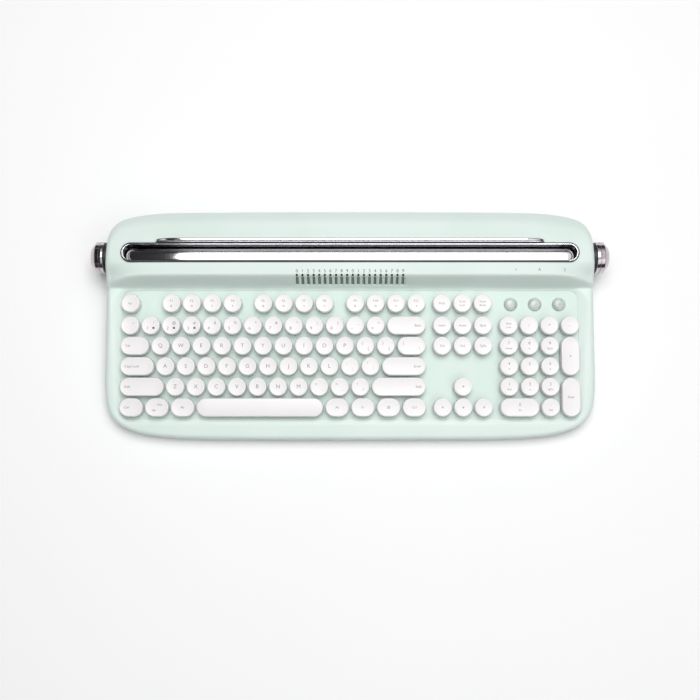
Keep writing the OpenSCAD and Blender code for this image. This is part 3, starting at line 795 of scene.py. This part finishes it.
# The outside's top flange is black, a painted shadow at the tray's edge; the inside is the dark metal,
# painted shade in the slot.
tray = Piece("tray_chrome")
tray.grid(swept(outside, core, direction), wrap_cols=True, wear=0.3, ink=2)
tray.grid(swept(roll, core, direction), wrap_cols=True, wear=1.0)
tray.grid(swept(inside, core, direction), wrap_cols=True, ink=1)
tray_chrome = tray.build(CHROME, SLOT_PAINTED_SHADE, BLACK, slot="chrome_trim", merge=0.02, recalc=True)
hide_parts("slot_tray")
print("tray:", len(tray_chrome.data.polygons), "faces")

# %% Platen bar
BAR_R = (bar_high[1] - bar_low[1]) / 2
core, direction = stadium(bar_high[0] - BAR_R, 28, 120, (bar_high[1] + bar_low[1]) / 2)
EDGE_R = 1.5
crown = np.linspace(BAR_R - EDGE_R, 0, 6)
top_z = bar_high[2] - 0.22 * (crown / (BAR_R - EDGE_R)) ** 2
profile = np.vstack([
    [[0, bar_low[2]], [BAR_R, bar_low[2]]],
    fillet((BAR_R - EDGE_R, bar_high[2] - 0.25 - EDGE_R), EDGE_R, 0, 82, 8),
    np.column_stack([crown, top_z]),
])
bar = Piece("platen_bar")
bar.grid(swept(profile, core, direction), wrap_cols=True)
platen_bar = bar.build(CHROME, slot="chrome_trim", merge=0.02, recalc=True)
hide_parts("paper_bar")
print("platen bar:", len(platen_bar.data.polygons), "faces, radius", round(float(BAR_R), 2))

# %% Back rest
half = rest_high[0]
t = rest_high[1] - rest_low[1]
low_z, high_z = rest_low[2], rest_high[2]
ramp = 19.0
x = np.concatenate([
    -half + ramp * (1 - np.cos(np.linspace(0, math.pi / 2, 12))),
    np.linspace(-half + ramp, half - ramp, 40)[1:-1],
    half - ramp * (1 - np.cos(np.linspace(math.pi / 2, 0, 12))),
])
over = np.clip((np.abs(x) - (half - ramp)) / ramp, 0, 1)
top = low_z + 0.9 + (high_z - low_z - 0.9) * np.sqrt(np.maximum(1 - over ** 2, 0))
edge_r = 1.15
quarter = np.radians(np.arange(0, 91, 18))
ring = np.vstack([
    [[0, 0.0], [0, 0.4]],
    np.column_stack([edge_r - edge_r * np.cos(quarter), np.sin(quarter)]),
    np.column_stack([t - edge_r + edge_r * np.sin(quarter), np.cos(quarter)]),
    [[t, 0.4], [t, 0.0]],
])
is_round = np.concatenate([[0, 0], np.ones(12), [0, 0]])
base = np.concatenate([[0, 0.5], np.ones(12), [0.5, 0]])
grid = np.zeros((len(ring), len(x), 3))
for row, (dy, dz) in enumerate(ring):
    level = low_z + (top - edge_r - low_z) * base[row]
    grid[row, :, 0] = x
    grid[row, :, 1] = rest_low[1] + dy
    grid[row, :, 2] = level + (edge_r * dz if is_round[row] else 0)
rest = Piece("back_rest_chrome")
rest.grid(grid, wrap_rows=True, wear=(is_round * 0.6)[:, None])
for end in (0, -1):
    rest.add(grid[:, end], [tuple(range(len(ring)))])
back_rest = rest.build(CHROME, slot="chrome_trim", recalc=True)
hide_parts("back_rest")
print("back rest:", len(back_rest.data.polygons), "faces,", round(float(t), 2), "mm thick")

# %% [markdown]
# ## Typebar grille
# Behind the slots stand twenty small typebars, joined by a strip at the back. Each bar has a
# rounded front and ends at the crease in a round black head, like the type slugs of a typewriter.

# %% Grille
LEAN = math.atan2(CREASE_Y - FOOT_Y, HOOD_Z - 2 - deck_height(FOOT_Y))


def on_face(points, x):
    """Points as (across, into the face, up along the face), moved on to the hood's front face."""
    points = np.asarray(points, float)
    c, s = math.cos(LEAN), math.sin(LEAN)
    out = np.empty_like(points)
    out[..., 0] = points[..., 0] + x
    out[..., 1] = FOOT_Y + points[..., 1] * c + points[..., 2] * s
    out[..., 2] = deck_height(FOOT_Y) + FACE_FOOT - points[..., 1] * s + points[..., 2] * c
    return out


# The bars and their back strip are in the mint darkened as painted shade.
grille = Piece("typebars")
bar_dir = stadium(0.0, 10, 2)[1]
section = np.column_stack([bar_dir[:, 0] * 0.8, 1.5 + bar_dir[:, 1] * 0.9])
runs = np.array([3.6, 4.2, 6, 8, 10, 12, 14, 16, 18, 19.2])
squeeze = np.array([0.2, 0.85, 1, 1, 1, 1, 1, 1, 1, 0.8])
head = np.array([[0, 0.9], [0.45, 0.83], [0.85, 0.55], [1.06, 0.1], [1.1, -0.4], [1.1, -2.3], [0, -2.3]])
for x in slot_x:
    tube = np.zeros((len(runs), len(section), 3))
    tube[..., 0] = section[None, :, 0] * squeeze[:, None]
    tube[..., 1] = 1.5 + (section[None, :, 1] - 1.5) * squeeze[:, None]
    tube[..., 2] = runs[:, None]
    grille.grid(on_face(tube, x), wrap_cols=True, flip=True)
    slug = lathe(head, 16)[..., [0, 2, 1]] * [1, -1, 1] + [0, -0.05, 20.3]
    grille.grid(on_face(slug, x), wrap_cols=True, ink=1)
plate = np.zeros((2, 2, 3))
half_plate = slot_x[-1] + 3.2
plate[..., 0] = [[-half_plate, half_plate]] * 2
plate[..., 1] = 3.6
plate[..., 2] = [[3.2, 3.2], [19.6, 19.6]]
for depth, turned in ((0.0, False), (0.6, True)):
    grille.grid(on_face(plate + [0, depth, 0], 0), flip=turned)
typebars = grille.build(PAINTED_SHADE_MINT, BLACK, slot="black_plastic", crisp=45)
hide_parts("typebar_grille")
print("grille:", len(slot_x), "typebars,", len(typebars.data.polygons), "faces")

# %% [markdown]
# ## Indicator domes
# Three frosted domes sit in the deck level with the function keys. Each is a turned light pipe: a
# stem in the deck, a small flange and a low dome above it.

# %% Domes
LENS_X = (151.2, 173.9, 196.6)
LENS_R = 6.25
LENS_H = 2.25
over_lens = np.radians(np.arange(8, 91, 9))
lens_profile = np.vstack([
    [[0, -6], [4.9, -6], [4.9, 0], [6.3, 0]], fillet((6.2, 0.25), 0.2, -60, 60, 4),
    np.column_stack([LENS_R * np.cos(over_lens), 0.5 + LENS_H * np.sin(over_lens)]),
])
domes = Piece("domes")
for x in LENS_X:
    # A pale ring on top of each dome: painted highlight.
    dome_highlight = np.exp(-(((lens_profile[:, 0] - 2.2) / 1.4) ** 2)) * (lens_profile[:, 1] > 1) * 0.4
    domes.grid(on_deck(lathe(lens_profile, 40) + [x, FUNCTION_ROW * PITCH, 0]), wrap_cols=True,
               wear=dome_highlight[:, None])
lenses = domes.build(LENS, slot="frosted_lens", recalc=True)
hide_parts("indicator_lenses")
print("indicator domes:", len(LENS_X), "of", 2 * LENS_R, "mm")

# %% [markdown]
# ## Knobs and collars
# Each knob is turned from metal and plated: a straight band, a rounded shoulder and a chamfer that
# runs in to a shallow dished end. A black collar fills the gap to the case.

# %% Knobs
knob_low, knob_high = box_mm("right_knob")
KNOB_R = (knob_high[1] - knob_low[1]) / 2
KNOB_END = knob_high[0]
KNOB_LEN = 12.4
KNOB_IN = KNOB_END - KNOB_LEN
shaft = [[0, -20], [2.6, -20], [3, -19.6], [3, 0]]
knob_profile = np.vstack([
    shaft, [[13.6, 0]], fillet((KNOB_R - 0.7, 0.7), 0.7, -90, 0, 5),
    [[KNOB_R, 3.0], [KNOB_R - 0.12, 3.15], [KNOB_R - 0.55, 3.3], [KNOB_R - 0.55, 3.9]],
    [[KNOB_R - 0.12, 4.05], [KNOB_R, 4.2]],
    fillet((KNOB_R - 1.0, 7.2), 1.0, 0, 42, 5),
    [[12.4, 9.9], [10.9, 11.3]], fillet((8.9, 11.4), 1.0, 55, 110, 5),
    [[7.6, 12.0], [5.0, 11.75], [2.5, 11.65], [0, 11.6]],
])
knob_wear = np.exp(-(((knob_profile[:, 1] - 7.6) / 0.8) ** 2)) * 0.6


def on_knob_axis(turned, side, start=0.0):
    """A turned shape laid on the knobs' axis, with its height running outwards from a place."""
    out = side * (start + turned[..., 2])
    return np.stack([out, KNOB_Y + turned[..., 0], KNOB_Z + turned[..., 1]], -1)


for side, body in ((-1, "left_knob"), (1, "right_knob")):
    piece = Piece(body + "_chrome")
    placed = on_knob_axis(lathe(knob_profile, 96), side, KNOB_IN)
    piece.grid(placed, wrap_cols=True, wear=knob_wear[:, None])
    knob = piece.build(KNOB, body=body, slot="chrome_trim", recalc=True, crisp=30)
    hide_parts(body)
print("knobs:", round(float(2 * KNOB_R), 1), "mm across,", KNOB_LEN, "mm long")

# %% Collars
c_out = box_mm("knob_collars")[1][0]
c_in = HALF_W - 2.1
c_flange = 228.2
collars = Piece("collars")
collar_profile = np.vstack([
    [[3.3, c_in], [4.4, c_in], [4.4, c_flange], [14.0, c_flange]],
    fillet((13.9, c_out - 0.4), 0.4, 0, 90, 5),
    [[3.3, c_out], [3.3, c_in]],
])
for side in (-1, 1):
    collars.grid(on_knob_axis(lathe(collar_profile, 72), side), wrap_cols=True)
collar_black = collars.build(BLACK, slot="black_plastic", recalc=True)
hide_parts("knob_collars")
print("collars reach out to", round(float(c_out), 2), "mm")

# %% [markdown]
# ## Keys
# Every key is a cap with a shallow dish, a rounded rim and a hollow skirt that flares a little, on
# one or three round stems that run in the deck's guides. A wide key is the same section carried
# along a stadium. The space bar is crowned instead of dished.

# %% Key layout, in key pitches: centre, row, width, length
R_BOTTOM, R_Z, R_A, R_Q, R_NUM, R_F = 0, 1, 2, 3, 4, FUNCTION_ROW
KEYS = {}
for word, row, start in (("qwertyuiop", R_Q, 2), ("asdfghjkl", R_A, 2.25), ("zxcvbnm", R_Z, 2.75)):
    for i, letter in enumerate(word):
        KEYS["key_" + letter] = [(start + i, row, 1, 1, letter.upper())]
KEYS["space_bar"] = [(6.875, R_BOTTOM, 6.25, 1, "")]
KEYS["enter_key"] = [(13.875, R_A, 2.25, 1, ">Enter")]
KEYS["backspace_key"] = [(14, R_NUM, 2, 1, ">Back")]
KEYS["tab_key"] = [(0.75, R_Q, 1.5, 1, "<Tab")]
KEYS["caps_lock_key"] = [(0.875, R_A, 1.75, 1, "<Caps Lock")]
KEYS["shift_keys"] = [(1.125, R_Z, 2.25, 1, "<Shift"), (13.625, R_Z, 2.75, 1, ">Shift")]
KEYS["number_keys"] = [
    (0.5 + i, R_NUM, 1, 1, "2" + pair) for i, pair in
    enumerate(["`~", "1!", "2@", "3#", "4$", "5%", "6^", "7&", "8*", "9(", "0)", "-_", "=+"])
]
KEYS["punctuation_keys"] = [
    (12, R_Q, 1, 1, "3[{"), (13, R_Q, 1, 1, "3]}"), (14.25, R_Q, 1.5, 1, "3\\|"),
    (11.25, R_A, 1, 1, "3;:"), (12.25, R_A, 1, 1, "3'\""),
    (9.75, R_Z, 1, 1, "3,<"), (10.75, R_Z, 1, 1, "3.>"), (11.75, R_Z, 1, 1, "3/?"),
]
KEYS["function_keys"] = [(0.5, R_F, 1, 1, "=Esc")] + [
    (start + i, R_F, 1, 1, "FF" + str(first + i))
    for start, first in ((2.5, 1), (7, 5), (11.5, 9)) for i in range(4)
] + [
    (15.75, R_F, 1, 1, "=PrtSc"), (16.75, R_F, 1, 1, "/Scroll/Lock"), (17.75, R_F, 1, 1, "/Pause/Break")
]
KEYS["modifier_keys"] = [
    (u, R_BOTTOM, 1.25, 1, word) for u, word in
    ((0.625, "<Ctrl"), (1.875, "W"), (3.125, "=Alt"), (10.625, "=Alt"), (11.875, "=Fn"),
     (13.125, "M"), (14.375, "=Ctrl"))
]
KEYS["navigation_keys"] = [
    (15.75, R_NUM, 1, 1, "=Insert"), (16.75, R_NUM, 1, 1, "=Home"), (17.75, R_NUM, 1, 1, "=PgUp"),
    (15.75, R_Q, 1, 1, "=Del"), (16.75, R_Q, 1, 1, "=End"), (17.75, R_Q, 1, 1, "=PgDn"),
    (16.75, R_Z, 1, 1, "^90"), (15.75, R_BOTTOM, 1, 1, "^180"), (16.75, R_BOTTOM, 1, 1, "^270"),
    (17.75, R_BOTTOM, 1, 1, "^0"),
]
KEYS["numpad_keys"] = [
    (19, R_NUM, 1, 1, "/Num/Lock"), (20, R_NUM, 1, 1, "*/"), (21, R_NUM, 1, 1, "**"),
    (22, R_NUM, 1, 1, "*-"),
    (19, R_Q, 1, 1, "N7Home"), (20, R_Q, 1, 1, "N8^90"), (21, R_Q, 1, 1, "N9PgUp"),
    (19, R_A, 1, 1, "N4^180"), (20, R_A, 1, 1, "N5"), (21, R_A, 1, 1, "N6^0"),
    (19, R_Z, 1, 1, "N1End"), (20, R_Z, 1, 1, "N2^270"), (21, R_Z, 1, 1, "N3PgDn"),
    (19.5, R_BOTTOM, 2, 1, "N0Ins"), (21, R_BOTTOM, 1, 1, "N.Del"),
    (22, R_Q - 0.5, 1, 2, "*+"), (22, R_Z - 0.5, 1, 2, "=Enter"),
]


def key_place(key):
    """Centre of a key in the deck's frame, and half the distance between its round ends."""
    half_reach = round((max(key[2], key[3]) - 1) * PITCH, 1) / 2
    return (key[0] - 11.25) * PITCH, key[1] * PITCH, half_reach


q_x = key_place(KEYS["key_q"][0])[0]
print("Q is off its CAD place by", round(float(q_x - (q_low[0] + q_high[0]) / 2), 4), "mm")

# %% Key caps
RIM_R = 8.4
SKIRT_R = 8.8
# Depth and radius of the dish
DISH = 0.5
DISH_R = RIM_R - 0.9


def cap_profile(crowned):
    """Section from the middle of the top, over the rim, down the skirt and back up inside."""
    r = np.linspace(0, RIM_R - 1.0, 8)
    bowl = CAP_TOP - DISH * (1 - (r / DISH_R) ** 2)
    hill = CAP_TOP - 0.02 - 0.55 * (r / RIM_R) ** 2
    top = np.column_stack([r, hill if crowned else bowl])
    edge_z = CAP_TOP - (1.5 if crowned else 1.0)
    edge = fillet((RIM_R - 1.0, edge_z), 1.0, 72 if crowned else 88, 4, 7)
    return np.vstack([
        top, edge, [[RIM_R + 0.14, 7.4], [RIM_R + 0.28, 5.8], [SKIRT_R, CAP_BOTTOM + 0.3]],
        [[SKIRT_R - 0.1, CAP_BOTTOM + 0.05], [SKIRT_R - 0.35, CAP_BOTTOM]],
        [[SKIRT_R - 1.1, CAP_BOTTOM + 0.05], [RIM_R - 1.3, 7.0], [RIM_R - 2.2, 8.1], [0, 8.1]],
    ])


def cap_surface(x, y, half_reach, upright, crowned=False):
    """Cap as a swept section: S = core + r * direction, with the stadium turned for a tall key."""
    if half_reach:
        core, direction = stadium(half_reach, 20, max(3, int(half_reach / 3)))
    else:
        core, direction = stadium(0.0, 20, 2)
    if upright:
        core, direction = core[:, ::-1] * [-1, 1], direction[:, ::-1] * [-1, 1]
    profile = cap_profile(crowned)
    grid = swept(profile, core, direction) + [x, y, 0]
    # A band over the middle of the rim's round: painted paler as a highlight, and glossier as if
    # polished by fingertips.
    rub = np.exp(-(((np.arange(len(profile)) - 10) / 2.2) ** 2))
    return grid, rub


stem_profile = [[0, -7.0], [3.3, -7.0], [3.5, -6.7], [3.0, -6.2], [3.0, 8.15], [0, 8.15]]
for body, keys in KEYS.items():
    piece = Piece(body + "_caps")
    for key in keys:
        x, y, half_reach = key_place(key)
        upright = key[3] > 1
        grid, rub = cap_surface(x, y, half_reach, upright, body == "space_bar")
        piece.grid(on_deck(grid), wrap_cols=True, wear=rub[:, None])
        spread = 0.84 if half_reach > 2 * PITCH else 1.0
        stems = (-spread, 0, spread) if 2 * half_reach >= PITCH else (0,)
        for along in stems:
            shift = [0, along * half_reach, 0] if upright else [along * half_reach, 0, 0]
            piece.grid(on_deck(lathe(stem_profile, 20) + [x, y, 0] + shift), wrap_cols=True)
    caps = piece.build(IVORY, body=body, slot="ivory_key", merge=0.01, recalc=True, crisp=60)
    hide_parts(body)
print("caps:", len(KEYS), "pieces, rims", 2 * RIM_R, "mm across")

# %% [markdown]
# ## Legends
# The legends are pad-printed: a skin of ink that follows the dish. Letters come from Blender's own
# font, cut to a cap height in millimetres, and small marks (arrows, bars, rings) are drawn as
# outlines. Each legend is a thin slab laid on the cap.

# %% Glyphs
GLYPHS = {}


def glyph(text):
    """Points and faces of a word, one unit tall in capitals, from its left edge and baseline."""
    if text not in GLYPHS:
        curve = bpy.data.curves.new("type", "FONT")
        curve.body = text
        curve.resolution_u = 3
        curve.extrude = 0.012
        holder = bpy.data.objects.new("type", curve)
        bpy.context.scene.collection.objects.link(holder)
        bpy.context.view_layer.update()
        graph = bpy.context.evaluated_depsgraph_get()
        mesh = bpy.data.meshes.new_from_object(holder.evaluated_get(graph))
        points = np.zeros(len(mesh.vertices) * 3)
        mesh.vertices.foreach_get("co", points)
        GLYPHS[text] = (points.reshape(-1, 3), [tuple(p.vertices) for p in mesh.polygons])
        bpy.data.objects.remove(holder)
        bpy.data.meshes.remove(mesh)
        bpy.data.curves.remove(curve)
    return GLYPHS[text]


CAP_UNIT = glyph("H")[0][:, 1].max()
print("capital height of the font:", round(float(CAP_UNIT), 3))


def slab(outline, thickness=0.05):
    """A flat outline as a thin closed slab."""
    outline = np.asarray(outline, float)
    count = len(outline)
    low = np.column_stack([outline, np.full(count, -thickness)])
    high = np.column_stack([outline, np.full(count, thickness)])
    faces = [tuple(range(2 * count - 1, count - 1, -1))[::-1], tuple(range(count))[::-1]]
    faces += [(i, (i + 1) % count, count + (i + 1) % count, count + i) for i in range(count)]
    return np.vstack([low, high]), faces


def arrow(angle, size):
    """A solid arrowhead pointing at an angle in degrees."""
    a = math.radians(angle)
    shape = np.array([[0.9, 0], [-0.5, 0.75], [-0.2, 0], [-0.5, -0.75]]) * size
    turn = np.array([[math.cos(a), -math.sin(a)], [math.sin(a), math.cos(a)]])
    return slab(shape @ turn.T)


def bars(widths, size):
    """Short bars above one another, as for a menu."""
    points, faces = [], []
    for i, w in enumerate(widths):
        y = (i - (len(widths) - 1) / 2) * 0.75 * size
        p, f = slab(np.array([[-w, -0.17], [w, -0.17], [w, 0.17], [-w, 0.17]]) * size + [0, y])
        faces += [tuple(k + sum(len(q) for q in points) for k in face) for face in f]
        points.append(p)
    return np.vstack(points), faces


def ring_mark(size, sides=12):
    """A small ring."""
    a = np.linspace(0, 2 * math.pi, sides, endpoint=False)
    grid = []
    for r, z in ((1.0, -0.05), (1.0, 0.05), (0.62, 0.05), (0.62, -0.05)):
        grid.append(np.column_stack([np.cos(a) * r * size, np.sin(a) * r * size, np.full(sides, z)]))
    points = np.vstack(grid)
    faces = []
    for row in range(4):
        for i in range(sides):
            j = (i + 1) % sides
            nxt = (row + 1) % 4
            faces.append((row * sides + i, row * sides + j, nxt * sides + j, nxt * sides + i))
    return points, faces


class Print:
    """Ink laid on the keys of one body, or on another surface given by a height."""

    def __init__(self, name, lay):
        self.piece = Piece(name)
        self.lay = lay

    def shape(self, made, x, y, ink=0):
        """A drawn mark, given as points and faces, with its middle at a place."""
        points, faces = made
        points = np.asarray(points, float) + [x, y, 0]
        self.piece.add(self.lay(points), faces, ink=ink)

    def text(self, word, x, y, tall, align=0.0, ink=0, wide=1.0):
        """A word centred on x (or with its left or right edge there) and on y at cap height."""
        points, faces = glyph(word)
        scale = tall / CAP_UNIT
        points = points * [scale * wide, scale, 1.0]
        points[:, 2] *= 4.0
        middle = (points[:, 0].max() + points[:, 0].min()) / 2
        half = (points[:, 0].max() - points[:, 0].min()) / 2
        shift = [x - middle - align * half, y - tall / 2, 0]
        self.piece.add(self.lay(points + shift), faces, ink=ink)


# %% Laying the legends
INK_LIFT = 0.02
MARKS = [arrow(0, 1.1), bars([1, 1, 1], 0.9), ring_mark(0.9), arrow(180, 1.1)]


def cap_lay(key, crowned=False):
    """Gives a function that lays flat points of a legend on one key's dished top."""
    cx, cy, half_reach = key_place(key)
    upright = key[3] > 1

    def lay(points):
        """Lifts flat points on to the dish: lower by 1 - (r / R)^2 of its depth."""
        run = points[:, 1] if upright else points[:, 0]
        side = points[:, 0] if upright else points[:, 1]
        r = np.hypot(np.maximum(np.abs(run) - half_reach, 0), side)
        z = CAP_TOP - DISH * (1 - np.minimum(r / DISH_R, 1) ** 2) + INK_LIFT + points[:, 2]
        return on_deck(np.column_stack([points[:, 0] + cx, points[:, 1] + cy, z]))

    return lay


def lay_legend(out, key, index):
    """Reads the short code of a legend and prints it."""
    code = key[4]
    half_reach = key_place(key)[2]
    kind, rest = code[:1], code[1:]
    if len(code) == 1 and (code not in "WM" or key[2] == 1):
        out.text(code, 0, 0.3, 3.5)
    elif kind == "W":
        out.text("Win", 2.4, 2.4, 1.9)
        out.text("opt", -2.6, -2.4, 1.8, ink=1)
    elif kind == "M":
        out.shape(bars([1, 1, 1], 1.3), 0, 0)
    elif kind == "=":
        out.text(rest, 0, 0, 2.1, wide=0.92)
    elif kind == "<":
        out.text(rest, -half_reach - 4.2, 0, 2.2, align=-1)
    elif kind == ">":
        out.text(rest, half_reach + 4.4, 0, 2.2, align=1)
    elif kind == "/":
        upper, lower = rest.split("/")
        out.text(upper, 0, 1.7, 1.9, wide=0.92)
        out.text(lower, 0, -1.7, 1.9, wide=0.92)
    elif kind == "2":
        out.text(rest[0], -2.9, -2.5, 2.9)
        out.text(rest[1], 2.9, 2.4, 2.5)
        if rest[0] in "123":
            out.shape(slab([[1.7, -3.3], [3.7, -3.3], [3.7, -1.5], [1.7, -1.5]]), 0.2, 0, ink=1)
    elif kind == "3":
        out.text(rest[0], 2.8 + half_reach, -2.5, 2.5)
        out.text(rest[1], -2.8 - half_reach, 2.4, 2.5)
    elif kind == "F":
        out.text(rest, 0, 2.3, 2.1)
        out.shape(MARKS[index % len(MARKS)], 0, -2.5)
    elif kind == "*":
        out.text(rest, 0, 0, 2.9)
    elif kind == "^":
        out.shape(arrow(float(rest), 1.4), 0, 0)
    elif kind == "N":
        out.text(rest[0], 0, 2.5 if len(rest) > 1 else 2.0, 2.6)
        if rest[1:2] == "^":
            out.shape(arrow(float(rest[2:]), 1.0), 0, -2.6)
        elif rest[1:]:
            out.text(rest[1:], 0, -2.4, 1.8, wide=0.92)


for body, keys in KEYS.items():
    if body == "space_bar":
        continue
    out = Print(body + "_legend", None)
    for index, key in enumerate(keys):
        out.lay = cap_lay(key)
        lay_legend(out, key, index)
    out.piece.build(INK, DARK_INK, body=body, slot="black_plastic", crisp=30, merge=0.0001)
print("glyphs cut:", len(GLYPHS))

# %% [markdown]
# ## Dome sheet
# Under the deck lies a silicone sheet with one hollow dome below each key. The domes of each body
# of keys are built as one piece.

# %% Domes under the keys
SHEET_TOP = -11.1
SHEET_T = 0.5
DOME_H = 3.7
SHEET_CORNER = 5
bend = np.radians(np.arange(0, 91, 15))
sheet_outline = np.vstack([
    np.column_stack([x + SHEET_CORNER * np.cos(bend + start), y + SHEET_CORNER * np.sin(bend + start)])
    for x, y, start in (
        (210, 104, 0), (-210, 104, math.pi / 2), (-210, -5.5, math.pi), (210, -5.5, 1.5 * math.pi)
    )
])
points, faces = slab(sheet_outline, SHEET_T / 2)
sheet = Piece("silicone_sheet")
sheet.add(on_deck(points + [0, 0, SHEET_TOP - SHEET_T / 2]), faces)
silicone_sheet = sheet.build(SILICONE, slot="silicone", recalc=True)
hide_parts("dome_sheet")

# Section of a dome above the sheet: flat top, sloping side, and back up inside
dome_section = [
    [0, DOME_H], [2.2, DOME_H], [2.5, DOME_H - 0.2], [4.5, 0],
    [4.0, 0], [2.0, DOME_H - 0.6], [0, DOME_H - 0.6],
]
deck_normal = on_deck([0, 0, 1]) - on_deck([0, 0, 0])
for body, keys in KEYS.items():
    piece = Piece(body + "_domes")
    for key in keys:
        x, y = key_place(key)[:2]
        piece.grid(on_deck(lathe(dome_section, 16) + [x, y, SHEET_TOP]), wrap_cols=True)
    soft = piece.build(SILICONE, slot="silicone", recalc=True)
    body + "_press"
    on_deck([0, 0, SHEET_TOP]) * MM
    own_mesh(soft)
print("domes:", sum(len(v) for v in KEYS.values()))

# %% [markdown]
# ## Printing on the hood
# Small numerals stand above the typebars, and three marks name the indicator domes.

# %% Hood print
def hood_lay(points):
    """Lays flat points on the hood's top, a hair above it."""
    plan = points[:, :2]
    z = top_height(plan) + 0.03 + points[:, 2]
    return np.column_stack([plan, z])


hood_print = Print("hood_print", hood_lay)
for i, x in enumerate(slot_x):
    hood_print.text(str(i % 10), x, 45.5, 2.9, ink=1)
for x, mark in zip((153.7, 175.6, 199.0), ("1", "A", "2")):
    hood_print.text(mark, x, 46.8, 2.5, ink=1)
hood_print.piece.build(INK, DARK_INK, slot="black_plastic", crisp=30, merge=0.0001)
print("hood print:", len(slot_x), "numerals and 3 marks")

# %% [markdown]
# ## Floor, light and camera
# A plain pale floor, one large soft light above and a little behind, a weaker one from the front
# right, and a sky that is bright overhead and dark at the horizon, which gives the chrome its dark
# lines. A dark flag high on the left of the sky darkens that end of the platen bar. The camera
# looks down steeply from the front.

# %% Stage
floor_mesh = bpy.data.meshes.new("floor")
floor_mesh.from_pydata([(-4, -4, 0), (4, -4, 0), (4, 4, 0), (-4, 4, 0)], [], [(0, 1, 2, 3)])
floor = bpy.data.objects.new("floor", floor_mesh)
bpy.context.scene.collection.objects.link(floor)
paper = Paint("floor_paper", Specular_IOR_Level=0.1)
shade = paper.noise(3, 2)
paper.finish(
    colour=paper.mix(shade, (0.975, 0.975, 0.975), (0.995, 0.995, 0.995)), roughness=0.8 + shade * 0.1
)
paper.bump(paper.noise(600, 3), 0.05, 0.00005)
floor_mesh.materials.append(paper.material)


def area_light(name, place, aim, size, power, colour=(1, 1, 1)):
    """A soft rectangular light at a place, facing a point."""
    light = bpy.data.lights.new(name, "AREA")
    light.shape = "RECTANGLE"
    light.size, light.size_y = size
    light.energy = power
    light.color = colour
    obj = bpy.data.objects.new(name, light)
    obj.location = place
    obj.rotation_euler = (Vector(aim) - Vector(place)).to_track_quat("-Z", "Y").to_euler()
    bpy.context.scene.collection.objects.link(obj)
    return obj


key_light = area_light("key_light", (0.06, 0.32, 1.55), (0.06, 0.05, 0), (0.98, 1.0), 15)
fill_light = area_light("fill_light", (0.5, -1.0, 1.1), (0, 0, 0), (1.2, 0.9), 2.3)
print("lights, watts:", key_light.data.energy, round(fill_light.data.energy, 2))


class Sky(Paint):
    """The studio round the object: brightness by direction."""

    def __init__(self, name):
        self.world = bpy.data.worlds.new(name)
        self.world.use_nodes = True
        self.tree = self.world.node_tree
        self.shader = self.tree.nodes["Background"]
        self.place = self.node("ShaderNodeTexCoord", output="Generated")


sky = Sky("studio")
up = sky.axis("z")
side = sky.axis("x")
dome = sky.mix(up.ramp(0.40, 0.84), (0.07, 0.07, 0.08), (1.0, 1.0, 1.0))
flag = (side * -1.0).ramp(0.165, 0.172) * (1.0 - (side * -1.0).ramp(0.42, 0.55)) * up.ramp(0.5, 0.6)
sky.connect(sky.mix(flag * 0.98, dome, (0.012, 0.012, 0.014)), sky.shader.inputs["Color"])
sky.shader.inputs["Strength"].default_value = 0.85
bpy.context.scene.world = sky.world

# %% Camera
TARGET = Vector((0.0, -0.025, 0.025))
DISTANCE = 0.910
ELEVATION = math.radians(80)
camera_data = bpy.data.cameras.new("camera")
camera_data.lens = 50
camera_data.sensor_width = 36
camera = bpy.data.objects.new("camera", camera_data)
camera.location = TARGET + DISTANCE * Vector((0, -math.cos(ELEVATION), math.sin(ELEVATION)))
camera.rotation_euler = (TARGET - camera.location).to_track_quat("-Z", "Y").to_euler()
bpy.context.scene.collection.objects.link(camera)
bpy.context.scene.camera = camera
bpy.context.scene.view_settings.view_transform = "Standard"
print("camera at", [round(v, 3) for v in camera.location])
